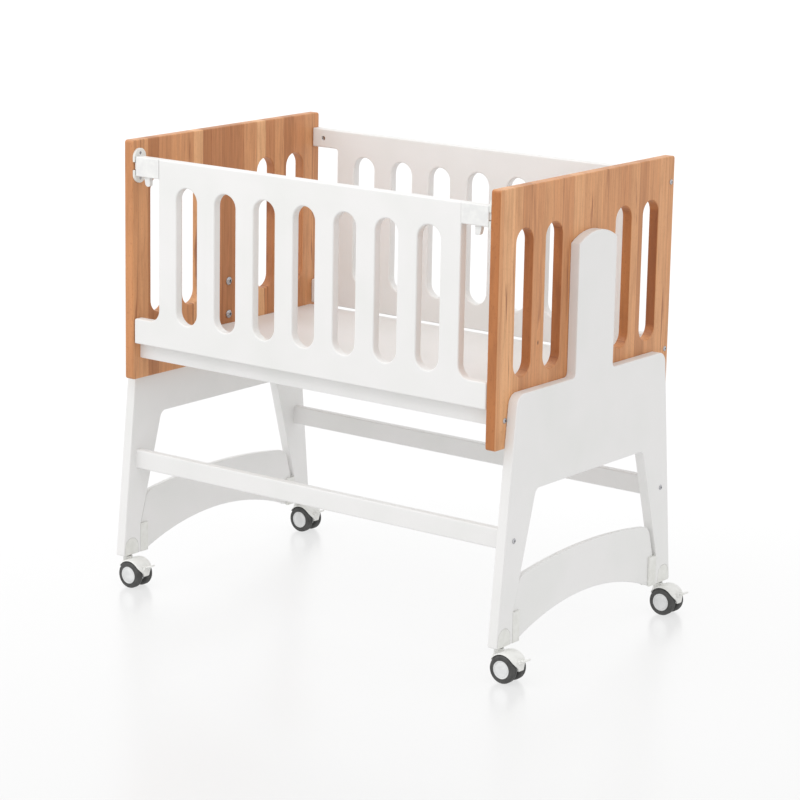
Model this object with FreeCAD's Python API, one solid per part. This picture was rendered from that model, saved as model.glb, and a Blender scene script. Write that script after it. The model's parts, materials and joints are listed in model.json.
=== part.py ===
"""Bedside baby crib: two slatted wooden ends on white leg frames, a fixed back rail, a front rail
that unlatches and folds down, a mattress board, rocker arches and four braked twin-wheel casters.

Millimetres. +X runs along the crib to its right end, -Y is the front, +Z is up. The origin is the
centre of the mattress board's top face. Heights named *_level are above the floor.
"""
import FreeCAD, Part
import math
import os

V = FreeCAD.Vector

# ---------------------------------------------------------------- driving dimensions
crib_length = 945.0          # over the outer faces of the wooden ends
crib_width = 610.0           # front edge to back edge of a wooden end
panel_height = 502.0
panel_thickness = 22.0
panel_corner_radius = 6.0
panel_edge_radius = 2.5
cutter_overrun = 1.0         # how far a cutter runs past the face that it cuts

leg_height = 494.0           # leg underside to shoulder
leg_thickness = 22.0
leg_edge_radius = 2.0
leg_outer_radius = 3.0       # the foot's outer lower corner
leg_inner_radius = 2.0       # and its inner one
leg_overlap = 107.0          # how far the shoulder stands above the wooden end's lower edge
shoulder_bolt_gap = 11.5     # shoulder's end inside the base bolts' axes
shoulder_radius = 24.0
foot_spread = 7.0            # foot's outer edge outside the wooden end's edge
foot_width = 54.0
foot_height = 61.0           # upright part of the foot's inner edge
leg_top_width = 71.0         # shoulder's end to the top of the opening between the legs
opening_drop = 197.0         # shoulder down to the top of the opening
opening_radius = 16.0
tongue_width = 132.0
tongue_height = 285.0        # shoulder to the crown of the tongue
tongue_crown = 20.0          # rise of the tongue's arched top
tongue_root_radius = 10.0

end_slot_width = 56.0
end_slot_length = 288.0
end_slot_margin = 133.0      # lower edge of the end to the slots
end_slot_places = (122.0, 221.0)

rail_thickness = 20.0
rail_inset = 2.0             # rail's outer face behind the ends' edges
rail_height = 392.0
rail_drop = 4.0              # rail's lower edge above the mattress board's top
rail_end_gap = 2.0           # end play at each end of the front rail
rail_foot_height = 53.0      # full-length lower board of a rail
rail_stub_height = 41.0      # top corner that reaches the ends
rail_end_window = 69.5       # open width between the outer stile and the end
rail_window_radius = 26.0
rail_slot_width = 55.0
rail_slot_length = 284.0
rail_slot_margin = 56.0
rail_slot_pitch = 102.0
rail_slot_count = 7
rail_edge_radius = 3.0
rail_corner_radius = 2.0     # in the rail's outline, at its ends
rail_foot_radius = 5.0       # upper corner of the lower board
rail_stub_radius = 6.0       # under the top corner

board_thickness = 12.0
board_clearance = 0.8
board_rise = 74.0            # wooden ends' lower edge to the board's top
beam_height = 30.0
beam_thickness = 18.0
beam_gap = 0.5               # front beam behind the folded rail
beam_edge_radius = 2.0
beam_bolt_drop = 18.0        # bolts below the board's top
board_corner_radius = 4.0
batten_size = 15.0
batten_screw_place = 200.0
batten_screw_grip = 12.0

stretcher_height = 40.0
stretcher_thickness = 18.0
stretcher_edge_radius = 3.0
stretcher_rise = 207.0       # centre of the stretchers above the feet
stretcher_inset = 49.0       # and inside the feet's outer edges

rocker_thickness = 12.0
rocker_rise = 147.0          # crown of the upper edge above the feet
rocker_depth = 100.0         # crown of the upper edge to crown of the lower edge
rocker_top_radius = 1450.0
rocker_lower_radius = 620.0
rocker_gap = 6.0             # rocker's end off the leg's inner edge
rocker_corner_radius = 30.0
rocker_edge_radius = 2.0
rocker_lift = 1.0            # arch's ends above the foot's underside
rocker_end_gap = 3.0         # arch's ends off the brackets' backs, clear of the screws
rocker_step = 4.0            # bevel where the arch narrows into the brackets
rocker_blank_rise = 5.0      # blank above the crown, before the top edge is cut round
bracket_reach = 24.0
bracket_wall = 3.0
bracket_edge_radius = 2.5
bracket_screw_margin = 9.0   # upper screw below the bracket's top
bracket_screw_rise = 8.0     # lower screw above the socket
bracket_height = 62.0
slide_clearance = 0.3

bolt_diameter = 6.0
bolt_head_diameter = 11.0
bolt_head_height = 2.4
bolt_head_rounding = 1.44
bolt_key_diameter = 4.0
bolt_key_depth = 1.92
bolt_reach = 44.0            # thread beyond the end, into a rail or beam
barrel_nut_diameter = 10.0
barrel_nut_length = 14.0
barrel_nut_place = 30.0      # from the rail's end
barrel_nut_slot_width = 1.4
barrel_nut_slot_depth = 1.2
bolt_end_play = 3.0          # hole beyond a bolt's tip
hole_clearance = 0.25
leg_bolt_diameter = 8.0
leg_bolt_head_diameter = 18.0
leg_bolt_head_height = 5.0
leg_bolt_head_rounding = 1.6
leg_bolt_key_diameter = 5.8
leg_bolt_key_depth = 3.5
leg_bolt_rises = (-13.0, 59.5)  # above the shoulder
insert_diameter = 11.5
insert_length = 14.0
screw_diameter = 4.0
screw_head_diameter = 7.6
screw_length = 18.0
screw_key_diameter = 2.2
screw_key_depth = 1.2

hinge_pin_diameter = 8.0
hinge_pin_depth = 12.0       # in the wooden end
hinge_pin_reach = 20.0       # in the rail
hinge_pin_height = 18.0      # above the rail's lower edge
pin_end_play = 1.0
running_clearance = 0.05

keeper_width = 36.0
keeper_length = 72.0
keeper_thickness = 5.0
keeper_edge_radius = 1.5
keeper_place = 19.0          # centre of the keeper behind the ends' front edge
keeper_screw_pitch = 52.0
keeper_groove_play = 1.5     # above and below the bolt
latch_end_gap = 1.5          # housing to keeper
latch_bolt_width = 12.0
latch_bolt_height = 14.0
latch_bolt_length = 47.0
latch_bolt_play = 0.5
latch_bolt_rest = 0.6        # bolt's nose to the wooden end
latch_bolt_nose = 2.0        # rounding of the nose
latch_travel = 10.0
latch_wall = 4.0
latch_edge_radius = 2.5
trigger_width = 14.0
trigger_thickness = 9.0
trigger_drop = 19.0
trigger_place = 33.5         # trigger's centre from the wooden end's inner face
trigger_rear_radius = 4.0
trigger_taper = 3.0          # narrowing towards the tip, on the keeper's side
trigger_taper_rise = 13.3    # where the taper starts, above the tip
trigger_taper_radius = 3.0
trigger_front_radius = 7.0
flange_length = 24.0
flange_thickness = 3.0
flange_corner_radius = 6.0
flange_margin = 1.0          # flange inside the housing's height, and the rail's rounding
flange_fit = 0.2
flange_seat = 0.01           # keeps the flange's face off the rail's own plane
housing_screw_pitch = 22.0
housing_screw_length = 14.0
spring_diameter = 9.6
spring_wire = 1.1
spring_turns = 5
spring_seat = 0.1

wheel_radius = 28.5
wheel_width = 17.0
wheel_gap = 14.0             # between the two wheels of a caster
tyre_thickness = 10.3
tyre_shoulder = 5.0
axle_diameter = 6.0
axle_end = 4.0               # axle's end inside the wheel's outer face
hub_ring_width = 2.6
hub_ring_depth = 1.6
hub_cap_gap = 0.8            # groove between the ring and the cap
hub_cap_radius = 60.0        # the cap's bulge
hub_cap_rise = 0.6
hub_bore_wall = 3.6
caster_trail = 22.0          # swivel axis to axle
caster_inset = 25.0          # swivel axis inside the foot's outer edge
caster_headroom = 4.3        # hood's crown to the underside of the legs
hood_wheel_gap = 1.6
hood_wall = 4.1
hood_plan_ease = 3.8         # the plan's circle beyond the hood's own radius
hood_plan_lead = 3.0         # and its centre ahead of the axle
hood_web = 12.0
hood_front_rim = 14.0        # rim above the axle, at the stem's side
hood_rear_rim = -2.0
stem_diameter = 10.0
stem_grip = 27.0             # length in the leg's socket
stem_collar_diameter = 13.0
stem_collar_thickness = 3.0
stem_rise = 18.0             # stem's lower end above the axle
stem_end_play = 0.5
swivel_gap = 0.45            # collar to hood, and barrel to ears
hood_tower_diameter = 20.0
socket_width = 40.0
socket_height = 36.0
socket_gap = 0.6             # shadow line round the socket's two faces
socket_gap_depth = 2.0
brake_pivot_gap = 2.5        # lever's pivot behind the wheel's rear
brake_pivot_rise = 17.0      # and above the axle
brake_pin_diameter = 4.0
brake_length = 21.0
brake_lift = 24.0            # degrees that the released pedal slopes up
brake_barrel = 12.0
brake_ear = 3.2
brake_neck = 6.5             # barrel's axis to the wide part of the pedal
brake_width = 20.0
brake_thickness = 4.0
brake_corner_radius = 6.0
brake_ear_wall = 2.4
brake_barrel_wall = 2.0

# ---------------------------------------------------------------- places worked out from them
half_length = crib_length / 2.0
half_width = crib_width / 2.0
inner_face = half_length - panel_thickness
leg_face = half_length + leg_thickness
axle_level = wheel_radius
hood_radius = wheel_radius + hood_wheel_gap + hood_wall
hood_plan_radius = hood_radius + hood_plan_ease
hood_plan_shift = caster_trail - hood_plan_lead
caster_height = wheel_radius + hood_radius + caster_headroom    # floor to the underside of the legs
foot_half_width = half_width + foot_spread
caster_place = foot_half_width - caster_inset
stretcher_place = foot_half_width - stretcher_inset
stretcher_level = caster_height + stretcher_rise
rocker_top_level = caster_height + rocker_rise
shoulder_level = caster_height + leg_height
leg_bolt_levels = [shoulder_level + rise for rise in leg_bolt_rises]
panel_level = shoulder_level - leg_overlap
board_level = panel_level + board_rise
rail_place = half_width - rail_inset - rail_thickness / 2.0
rail_half_length = inner_face - rail_end_gap
beam_place = rail_place - rail_thickness / 2.0 - beam_gap - beam_thickness / 2.0
shoulder_half_width = beam_place - shoulder_bolt_gap
opening_half_width = shoulder_half_width - leg_top_width
beam_bolt_level = board_level - beam_bolt_drop
rail_base_level = board_level + rail_drop
rail_top_level = rail_base_level + rail_height
stub_level = rail_top_level - rail_stub_height / 2.0
hinge_level = rail_base_level + hinge_pin_height
keeper_y = -half_width + keeper_place
board_half_length = inner_face - board_clearance
board_half_width = beam_place - beam_thickness / 2.0 - board_clearance


def up(level):
    """Height in the crib's frame of a level above the floor."""
    return level - board_level


def box(x0, x1, y0, y1, z0, z1):
    """Block between two corners, given in any order along each axis."""
    lo = V(min(x0, x1), min(y0, y1), min(z0, z1))
    return Part.makeBox(abs(x1 - x0), abs(y1 - y0), abs(z1 - z0), lo)


def rod(start, direction, length, diameter):
    """Round bar from start along direction."""
    return Part.makeCylinder(diameter / 2.0, length, start, direction)


def outline(points, place):
    """Closed wire through (u, v, corner radius) points; place turns (u, v) into a vector."""
    marks = []
    count = len(points)
    for i, (u, v, radius) in enumerate(points):
        corner = place(u, v)
        if radius <= 0:
            marks.append((corner, None, corner))
            continue
        before = (place(*points[i - 1][:2]) - corner).normalize()
        after = (place(*points[(i + 1) % count][:2]) - corner).normalize()
        half = before.getAngle(after) / 2.0
        reach = radius / math.tan(half)
        inward = (before + after).normalize()
        middle = corner + inward * (radius / math.sin(half) - radius)
        marks.append((corner + before * reach, middle, corner + after * reach))
    edges = []
    for i, (start, middle, end) in enumerate(marks):
        if middle is not None:
            edges.append(Part.Arc(start, middle, end).toShape())
        following = marks[(i + 1) % count][0]
        if end.distanceToPoint(following) > 1e-6:
            edges.append(Part.LineSegment(end, following).toShape())
    return Part.Wire(edges)


def on_yz(x):
    """Placer for outlines drawn across the crib, at x."""
    return lambda y, z: V(x, y, z)


def on_xz(y):
    """Placer for outlines drawn along the crib, at y."""
    return lambda x, z: V(x, y, z)


def slab(wire, direction):
    """Solid swept from a flat closed wire."""
    return Part.Face(wire).extrude(direction)


def slot(u, v, width, length, place, direction):
    """Round-ended upright slot centred on (u, v), as a solid to cut away."""
    half, straight = width / 2.0, (length - width) / 2.0
    edges = [
        Part.Arc(place(u - half, v + straight), place(u, v + length / 2.0),
                 place(u + half, v + straight)).toShape(),
        Part.LineSegment(place(u + half, v + straight), place(u + half, v - straight)).toShape(),
        Part.Arc(place(u + half, v - straight), place(u, v - length / 2.0),
                 place(u - half, v - straight)).toShape(),
        Part.LineSegment(place(u - half, v - straight), place(u - half, v + straight)).toShape(),
    ]
    return slab(Part.Wire(edges), direction)


def soften(solid, radius, axis, levels):
    """Round every edge that lies in one of the planes axis = level."""
    edges = []
    for edge in solid.Edges:
        for level in levels:
            if all(abs(getattr(v.Point, axis) - level) < 1e-6 for v in edge.Vertexes):
                edges.append(edge)
                break
    return solid.makeFillet(radius, edges)


def mirrored(solid):
    """The same piece at the crib's other end."""
    return solid.mirror(V(0, 0, 0), V(1, 0, 0))


def moved(solid, x, y, z):
    copy = solid.copy()
    copy.translate(V(x, y, z))
    return copy


def group(solids):
    """Several separate like pieces as one node."""
    return Part.makeCompound(solids)


# ---------------------------------------------------------------- fasteners
def panel_bolt_places():
    """(y, level) of the bolts through a wooden end into the rail and beams."""
    return [
        (rail_place, stub_level),
        (rail_place, rail_base_level + rail_foot_height / 2.0),
        (beam_place, beam_bolt_level),
        (-beam_place, beam_bolt_level),
    ]


def outer_rim(head, axis, level):
    """Circle of a round head that lies in the plane axis = level."""
    return [e for e in head.Edges if len(e.Vertexes) == 1
            and abs(getattr(e.Vertexes[0].Point, axis) - level) < 1e-6]


def cross_bolt(x, y, z, through):
    """Bolt whose low domed head rests at x and whose shank runs towards -X."""
    head = rod(V(x, y, z), V(1, 0, 0), bolt_head_height, bolt_head_diameter)
    head = head.makeFillet(bolt_head_rounding, outer_rim(head, "x", x + bolt_head_height))
    shank = rod(V(x, y, z), V(-1, 0, 0), through + bolt_reach, bolt_diameter)
    key = rod(V(x + bolt_head_height, y, z), V(-1, 0, 0), bolt_key_depth, bolt_key_diameter)
    return head.fuse(shank).cut(key)


def bolt_hole(x, y, z, length):
    """Clearance hole for a cross bolt, from x towards -X."""
    return rod(V(x, y, z), V(-1, 0, 0), length, bolt_diameter + 2.0 * hole_clearance)


def barrel_nut(x, y, z, side):
    """Barrel nut across Y, pushed in from the face at y; side is +1 into +Y."""
    body = rod(V(x, y, z), V(0, side, 0), barrel_nut_length, barrel_nut_diameter)
    thread = rod(V(x - barrel_nut_diameter, y + side * barrel_nut_length / 2.0, z), V(1, 0, 0),
                 2.0 * barrel_nut_diameter, bolt_diameter)
    half_slot = barrel_nut_slot_width / 2.0
    key = box(x - barrel_nut_diameter, x + barrel_nut_diameter, y, y + side * barrel_nut_slot_depth,
              z - half_slot, z + half_slot)
    return body.cut(thread).cut(key)


def barrel_hole(x, y, z, side, depth):
    """Blind hole for a barrel nut, from the face at y."""
    return rod(V(x, y - side * cutter_overrun, z), V(0, side, 0), depth + cutter_overrun,
               barrel_nut_diameter + hole_clearance)


def screw_blank(head_point, direction, length=screw_length):
    """Countersunk screw without its recess, to cut its hole; head_point is the centre of its flat head."""
    sink = (screw_head_diameter - screw_diameter) / 2.0
    head = Part.makeCone(screw_head_diameter / 2.0, screw_diameter / 2.0, sink, head_point, direction)
    return head.fuse(rod(head_point, direction, length, screw_diameter))


def screws_at(places):
    """Screws with their recesses, for (head point, direction, length) places."""
    return [screw_blank(*place).cut(rod(place[0], place[1], screw_key_depth, screw_key_diameter))
            for place in places]


def without_screws(solid, places):
    """Cut the holes of the screws at places into a solid."""
    for place in places:
        solid = solid.cut(screw_blank(*place))
    return solid


def mirrored_places(places):
    return [(V(-p.x, p.y, p.z), V(-d.x, d.y, d.z), length) for p, d, length in places]


# ---------------------------------------------------------------- wooden ends and leg frames
def end_panel():
    """Right-hand wooden end with its four slots and its bolt holes."""
    z0, z1 = up(panel_level), up(panel_level + panel_height)
    corners = [(-half_width, z0), (half_width, z0), (half_width, z1), (-half_width, z1)]
    wire = outline([(y, z, panel_corner_radius) for y, z in corners], on_yz(inner_face))
    panel = slab(wire, V(panel_thickness, 0, 0))
    middle = z0 + end_slot_margin + end_slot_length / 2.0
    for place in end_slot_places:
        for y in (-place, place):
            panel = panel.cut(slot(y, middle, end_slot_width, end_slot_length,
                                   on_yz(inner_face - cutter_overrun),
                                   V(panel_thickness + 2.0 * cutter_overrun, 0, 0)))
    panel = soften(panel, panel_edge_radius, "x", (inner_face, half_length))
    for y, level in panel_bolt_places():
        panel = panel.cut(bolt_hole(half_length + cutter_overrun, y, up(level),
                                    panel_thickness + 2.0 * cutter_overrun))
    for level in leg_bolt_levels:
        panel = panel.cut(rod(V(inner_face - cutter_overrun, 0, up(level)), V(1, 0, 0),
                              panel_thickness + 2.0 * cutter_overrun,
                              leg_bolt_diameter + 2.0 * hole_clearance))
    panel = panel.cut(rod(V(inner_face, -rail_place, up(hinge_level)), V(1, 0, 0), hinge_pin_depth,
                          hinge_pin_diameter))
    return without_screws(panel, keeper_screws() + batten_screws())


def leg_edge(level):
    """Distance from the centre to the leg's sloping inner edge at a level."""
    top = shoulder_level - opening_drop
    low = caster_height + foot_height
    share = (top - level) / (top - low)
    return opening_half_width + share * (foot_half_width - foot_width - opening_half_width)


def tongue_crown_radius():
    half = tongue_width / 2.0
    return (half * half + tongue_crown * tongue_crown) / (2.0 * tongue_crown)


def leg_frame():
    """Right-hand leg frame: arched tongue, shoulders and two spreading legs."""
    shoulder, foot = up(shoulder_level), up(caster_height)
    opening, upright = up(shoulder_level - opening_drop), up(caster_height + foot_height)
    inner_foot = foot_half_width - foot_width
    tongue, crown = tongue_width / 2.0, up(shoulder_level + tongue_height)
    half = [
        (tongue, crown, 0), (tongue, shoulder, tongue_root_radius),
        (shoulder_half_width, shoulder, shoulder_radius), (foot_half_width, foot, leg_outer_radius),
        (inner_foot, foot, leg_inner_radius), (inner_foot, upright, 0),
        (opening_half_width, opening, opening_radius),
    ]
    other = [(-y, z, r) for y, z, r in reversed(half)]
    frame = slab(outline(half + other, on_yz(half_length)), V(leg_thickness, 0, 0))
    radius = tongue_crown_radius()
    near, far = half_length - cutter_overrun, leg_face + cutter_overrun
    crown_disc = rod(V(near, 0, crown - radius), V(1, 0, 0), far - near, 2.0 * radius)
    above = box(near, far, -crib_width, crib_width, crown - radius, crown + cutter_overrun)
    below = box(near, far, -crib_width, crib_width, foot - cutter_overrun, crown - radius)
    frame = frame.common(crown_disc.common(above).fuse(below))
    frame = soften(frame, leg_edge_radius, "x", (half_length, leg_face))
    for y in (-caster_place, caster_place):
        frame = frame.cut(socket_blank(y, near, far, 0.0))
        frame = frame.cut(socket_blank(y, near, half_length + socket_gap_depth, socket_gap))
        frame = frame.cut(socket_blank(y, leg_face - socket_gap_depth, far, socket_gap))
    for level in leg_bolt_levels:
        frame = frame.cut(rod(V(half_length, 0, up(level)), V(1, 0, 0), insert_length, insert_diameter))
    for y in (-stretcher_place, stretcher_place):
        frame = frame.cut(bolt_hole(leg_face + cutter_overrun, y, up(stretcher_level),
                                    leg_thickness + 2.0 * cutter_overrun))
    return without_screws(frame, bracket_screws())


def leg_bolts():
    """Bolts from inside the crib through the end into the leg frame's inserts."""
    bolts = []
    for level in leg_bolt_levels:
        crown = V(inner_face - leg_bolt_head_height, 0, up(level))
        head = rod(crown, V(1, 0, 0), leg_bolt_head_height, leg_bolt_head_diameter)
        head = head.makeFillet(leg_bolt_head_rounding, outer_rim(head, "x", crown.x))
        shank = rod(V(inner_face, 0, crown.z), V(1, 0, 0), panel_thickness + insert_length - pin_end_play,
                    leg_bolt_diameter)
        key = rod(crown, V(1, 0, 0), leg_bolt_key_depth, leg_bolt_key_diameter)
        bolts.append(head.fuse(shank).cut(key))
    return bolts


def threaded_inserts():
    """Sleeves let into the leg frame for the leg bolts."""
    sleeves = []
    for level in leg_bolt_levels:
        sleeve = rod(V(half_length, 0, up(level)), V(1, 0, 0), insert_length, insert_diameter)
        sleeves.append(sleeve.cut(rod(V(half_length, 0, up(level)), V(1, 0, 0), insert_length,
                                      leg_bolt_diameter)))
    return sleeves


# ---------------------------------------------------------------- rails, stretchers and bed base
def rail_corners(end):
    """Right-hand half of a rail's outline, bottom centre to top centre, ending at x = end."""
    base, top = up(rail_base_level), up(rail_top_level)
    stile = inner_face - rail_end_window
    return [
        (end, base, rail_corner_radius), (end, base + rail_foot_height, rail_foot_radius),
        (stile, base + rail_foot_height, rail_window_radius),
        (stile, top - rail_stub_height, rail_stub_radius),
        (end, top - rail_stub_height, rail_corner_radius), (end, top, rail_corner_radius),
    ]


def slotted_rail(corners, y):
    """Upright board with its row of slots, centred on y."""
    near, far = y - rail_thickness / 2.0, y + rail_thickness / 2.0
    left = [(-x, z, r) for x, z, r in reversed(corners)]
    rail = slab(outline(corners + left, on_xz(near)), V(0, rail_thickness, 0))
    middle = up(rail_base_level + rail_slot_margin + rail_slot_length / 2.0)
    first = -(rail_slot_count - 1) / 2.0
    for i in range(rail_slot_count):
        rail = rail.cut(slot((first + i) * rail_slot_pitch, middle, rail_slot_width, rail_slot_length,
                             on_xz(near - cutter_overrun),
                             V(0, rail_thickness + 2.0 * cutter_overrun, 0)))
    return soften(rail, rail_edge_radius, "y", (near, far))


def bolt_bore(end_face, y, z, end):
    """Hole along X for a cross bolt, into the end of a rail, beam or stretcher."""
    return rod(V(end * (end_face + cutter_overrun), y, z), V(-end, 0, 0),
               bolt_reach + bolt_end_play + cutter_overrun, bolt_diameter + 2.0 * hole_clearance)


def bolted_ends(board, end_face, y, z, thickness, side):
    """Cut a bolt hole and a barrel nut's hole, pushed in towards side, into both ends of a board."""
    face = y - side * thickness / 2.0
    depth = thickness / 2.0 + barrel_nut_length / 2.0
    for end in (-1, 1):
        board = board.cut(bolt_bore(end_face, y, z, end))
        board = board.cut(barrel_hole(end * (end_face - barrel_nut_place), face, z, side, depth))
    return board


def back_rail():
    """Fixed rail, bolted between the wooden ends."""
    rail = slotted_rail(rail_corners(inner_face), rail_place)
    for y, level in panel_bolt_places()[:2]:
        rail = bolted_ends(rail, inner_face, y, up(level), rail_thickness, 1)
    return rail


def front_rail():
    """Folding rail: its top corners are cut away for the latch housings."""
    top, stile = up(rail_top_level), inner_face - rail_end_window
    corners = rail_corners(rail_half_length)[:3] + [(stile, top, 0)]
    rail = slotted_rail(corners, -rail_place)
    back = -rail_place + rail_thickness / 2.0
    for end in (-1, 1):
        bore = rod(V(end * (rail_half_length + cutter_overrun), -rail_place, up(hinge_level)),
                   V(-end, 0, 0), hinge_pin_reach + cutter_overrun,
                   hinge_pin_diameter + 2.0 * running_clearance)
        recess = box(end * (stile - flange_length - flange_fit), end * (stile + cutter_overrun),
                     back - flange_thickness, back + cutter_overrun, top - rail_stub_height,
                     top - rail_edge_radius - flange_margin)
        rail = rail.cut(bore).cut(recess)
    return without_screws(rail, housing_screws())


def hinge_pin():
    """Right-hand pin that the front rail turns on, fixed in the wooden end."""
    length = hinge_pin_depth + rail_end_gap + hinge_pin_reach - pin_end_play
    return rod(V(inner_face + hinge_pin_depth, -rail_place, up(hinge_level)), V(-1, 0, 0), length,
               hinge_pin_diameter)


def edges_along(solid, axis):
    """Edges of a block that run along an axis."""
    return [e for e in solid.Edges if abs(getattr(e.Vertexes[0].Point, axis)
                                          - getattr(e.Vertexes[-1].Point, axis)) > 1.0]


def base_beam(side):
    """Long beam beside the mattress board; side is -1 at the front, +1 at the back."""
    y = side * beam_place
    top = up(board_level)
    beam = box(-inner_face, inner_face, y - beam_thickness / 2.0, y + beam_thickness / 2.0,
               top - beam_height, top)
    beam = beam.makeFillet(beam_edge_radius, edges_along(beam, "x"))
    return bolted_ends(beam, inner_face, y, up(beam_bolt_level), beam_thickness, side)


def base_board():
    """Loose board that the mattress lies on."""
    top = up(board_level)
    board = box(-board_half_length, board_half_length, -board_half_width, board_half_width,
                top - board_thickness, top)
    return board.makeFillet(board_corner_radius, edges_along(board, "z"))


def base_battens():
    """Ledges under the board's edges: one on each wooden end and one on each beam."""
    top = up(board_level) - board_thickness
    inner = beam_place - beam_thickness / 2.0
    ends = [box(end * inner_face, end * (inner_face - batten_size), -inner, inner, top - batten_size, top)
            for end in (-1, 1)]
    run = inner_face - batten_size
    sides = [box(-run, run, side * inner, side * (inner - batten_size), top - batten_size, top)
             for side in (-1, 1)]
    return ends + sides


def batten_screws():
    """Places of the screws that hold the right-hand end batten to the wooden end."""
    z = up(board_level) - board_thickness - batten_size / 2.0
    return [(V(inner_face - batten_size, y, z), V(1, 0, 0), batten_size + batten_screw_grip)
            for y in (-batten_screw_place, batten_screw_place)]


def stretcher(side):
    """Long bar between the leg frames; side is -1 at the front, +1 at the back."""
    y, z = side * stretcher_place, up(stretcher_level)
    bar = box(-half_length, half_length, y - stretcher_thickness / 2.0, y + stretcher_thickness / 2.0,
              z - stretcher_height / 2.0, z + stretcher_height / 2.0)
    bar = bar.makeFillet(stretcher_edge_radius, edges_along(bar, "x"))
    return bolted_ends(bar, half_length, y, z, stretcher_thickness, -1)


def barrel_nuts():
    """Right-hand barrel nuts of the rail, the beams and the stretchers."""
    nuts = []
    x = inner_face - barrel_nut_place
    for y, level in panel_bolt_places():
        side = 1 if y > 0 else -1
        nuts.append(barrel_nut(x, y - side * barrel_nut_length / 2.0, up(level), side))
    for y in (-stretcher_place, stretcher_place):
        nuts.append(barrel_nut(half_length - barrel_nut_place, y + barrel_nut_length / 2.0,
                               up(stretcher_level), -1))
    return nuts


# ---------------------------------------------------------------- rocker arches
def rocker_arch():
    """Curved board between the legs, its lower edge hollow and its ends held in the brackets."""
    middle = half_length + leg_thickness / 2.0
    x0, x1 = middle - rocker_thickness / 2.0, middle + rocker_thickness / 2.0
    near, length = x0 - cutter_overrun, rocker_thickness + 2.0 * cutter_overrun
    end = foot_half_width - foot_width - bracket_wall - rocker_end_gap
    above, upright = rocker_top_level + rocker_blank_rise, caster_height + foot_height
    half = [
        (leg_edge(above) - rocker_gap, up(above), 0),
        (leg_edge(upright) - rocker_gap, up(upright), 0),
        (end, up(upright) - rocker_step, 0), (end, up(caster_height) + rocker_lift, 0),
    ]
    other = [(-y, z, r) for y, z, r in reversed(half)]
    blank = slab(outline(half + other, on_yz(x0)), V(rocker_thickness, 0, 0))
    upper = rod(V(near, 0, up(rocker_top_level) - rocker_top_radius), V(1, 0, 0), length,
                2.0 * rocker_top_radius)
    crown = up(rocker_top_level - rocker_depth)
    lower = rod(V(near, 0, crown - rocker_lower_radius), V(1, 0, 0), length, 2.0 * rocker_lower_radius)
    arch = blank.common(upper).cut(lower)
    sag = rocker_top_radius - math.sqrt(rocker_top_radius ** 2 - opening_half_width ** 2)
    corners = [e for e in edges_along(arch, "x")
               if e.Vertexes[0].Point.z > up(rocker_top_level - sag - rocker_corner_radius / 2.0)]
    arch = arch.makeFillet(rocker_corner_radius, corners)
    return soften(arch, rocker_edge_radius, "x", (x0, x1))


def rocker_bracket(side):
    """Channel on the foot's inner edge that the rocker arch drops into."""
    foot = up(caster_height)
    face = foot_half_width - foot_width
    open_side = side * (face - bracket_reach)
    shell = box(half_length, leg_face, side * face, open_side, foot, foot + bracket_height)
    upright = [e for e in edges_along(shell, "z") if abs(e.Vertexes[0].Point.y - open_side) < 0.1]
    shell = shell.makeFillet(bracket_edge_radius, upright)
    middle = half_length + leg_thickness / 2.0
    half_groove = rocker_thickness / 2.0 + slide_clearance
    groove = box(middle - half_groove, middle + half_groove, side * (face - bracket_wall),
                 open_side - side * cutter_overrun, foot - cutter_overrun,
                 foot + bracket_height + cutter_overrun)
    return shell.cut(groove)


def bracket_screw_points(side):
    foot = up(caster_height)
    y = side * (foot_half_width - foot_width - bracket_wall)
    x = half_length + leg_thickness / 2.0
    return [V(x, y, foot + h)
            for h in (socket_height + bracket_screw_rise, bracket_height - bracket_screw_margin)]


def bracket_screws():
    return [(point, V(0, side, 0), screw_length) for side in (-1, 1)
            for point in bracket_screw_points(side)]


def rocker_brackets():
    return [without_screws(rocker_bracket(side), bracket_screws()) for side in (-1, 1)]


# ---------------------------------------------------------------- latches
def keeper_screws():
    return [(V(inner_face - keeper_thickness, keeper_y, up(stub_level) + h), V(1, 0, 0), screw_length)
            for h in (-keeper_screw_pitch / 2.0, keeper_screw_pitch / 2.0)]


def keeper():
    """Round-ended plate on the wooden end with a groove, open to the front, for the latch bolt."""
    z = up(stub_level)
    x0 = inner_face - keeper_thickness
    plate = slot(keeper_y, z, keeper_width, keeper_length, on_yz(x0), V(keeper_thickness, 0, 0))
    plate = soften(plate, keeper_edge_radius, "x", (x0,))
    reach = -rail_place + latch_bolt_width / 2.0 + latch_bolt_play
    half = latch_bolt_height / 2.0 + keeper_groove_play
    groove = box(x0 - cutter_overrun, inner_face + cutter_overrun, -half_width, reach, z - half, z + half)
    return without_screws(plate.cut(groove), keeper_screws())


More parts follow.
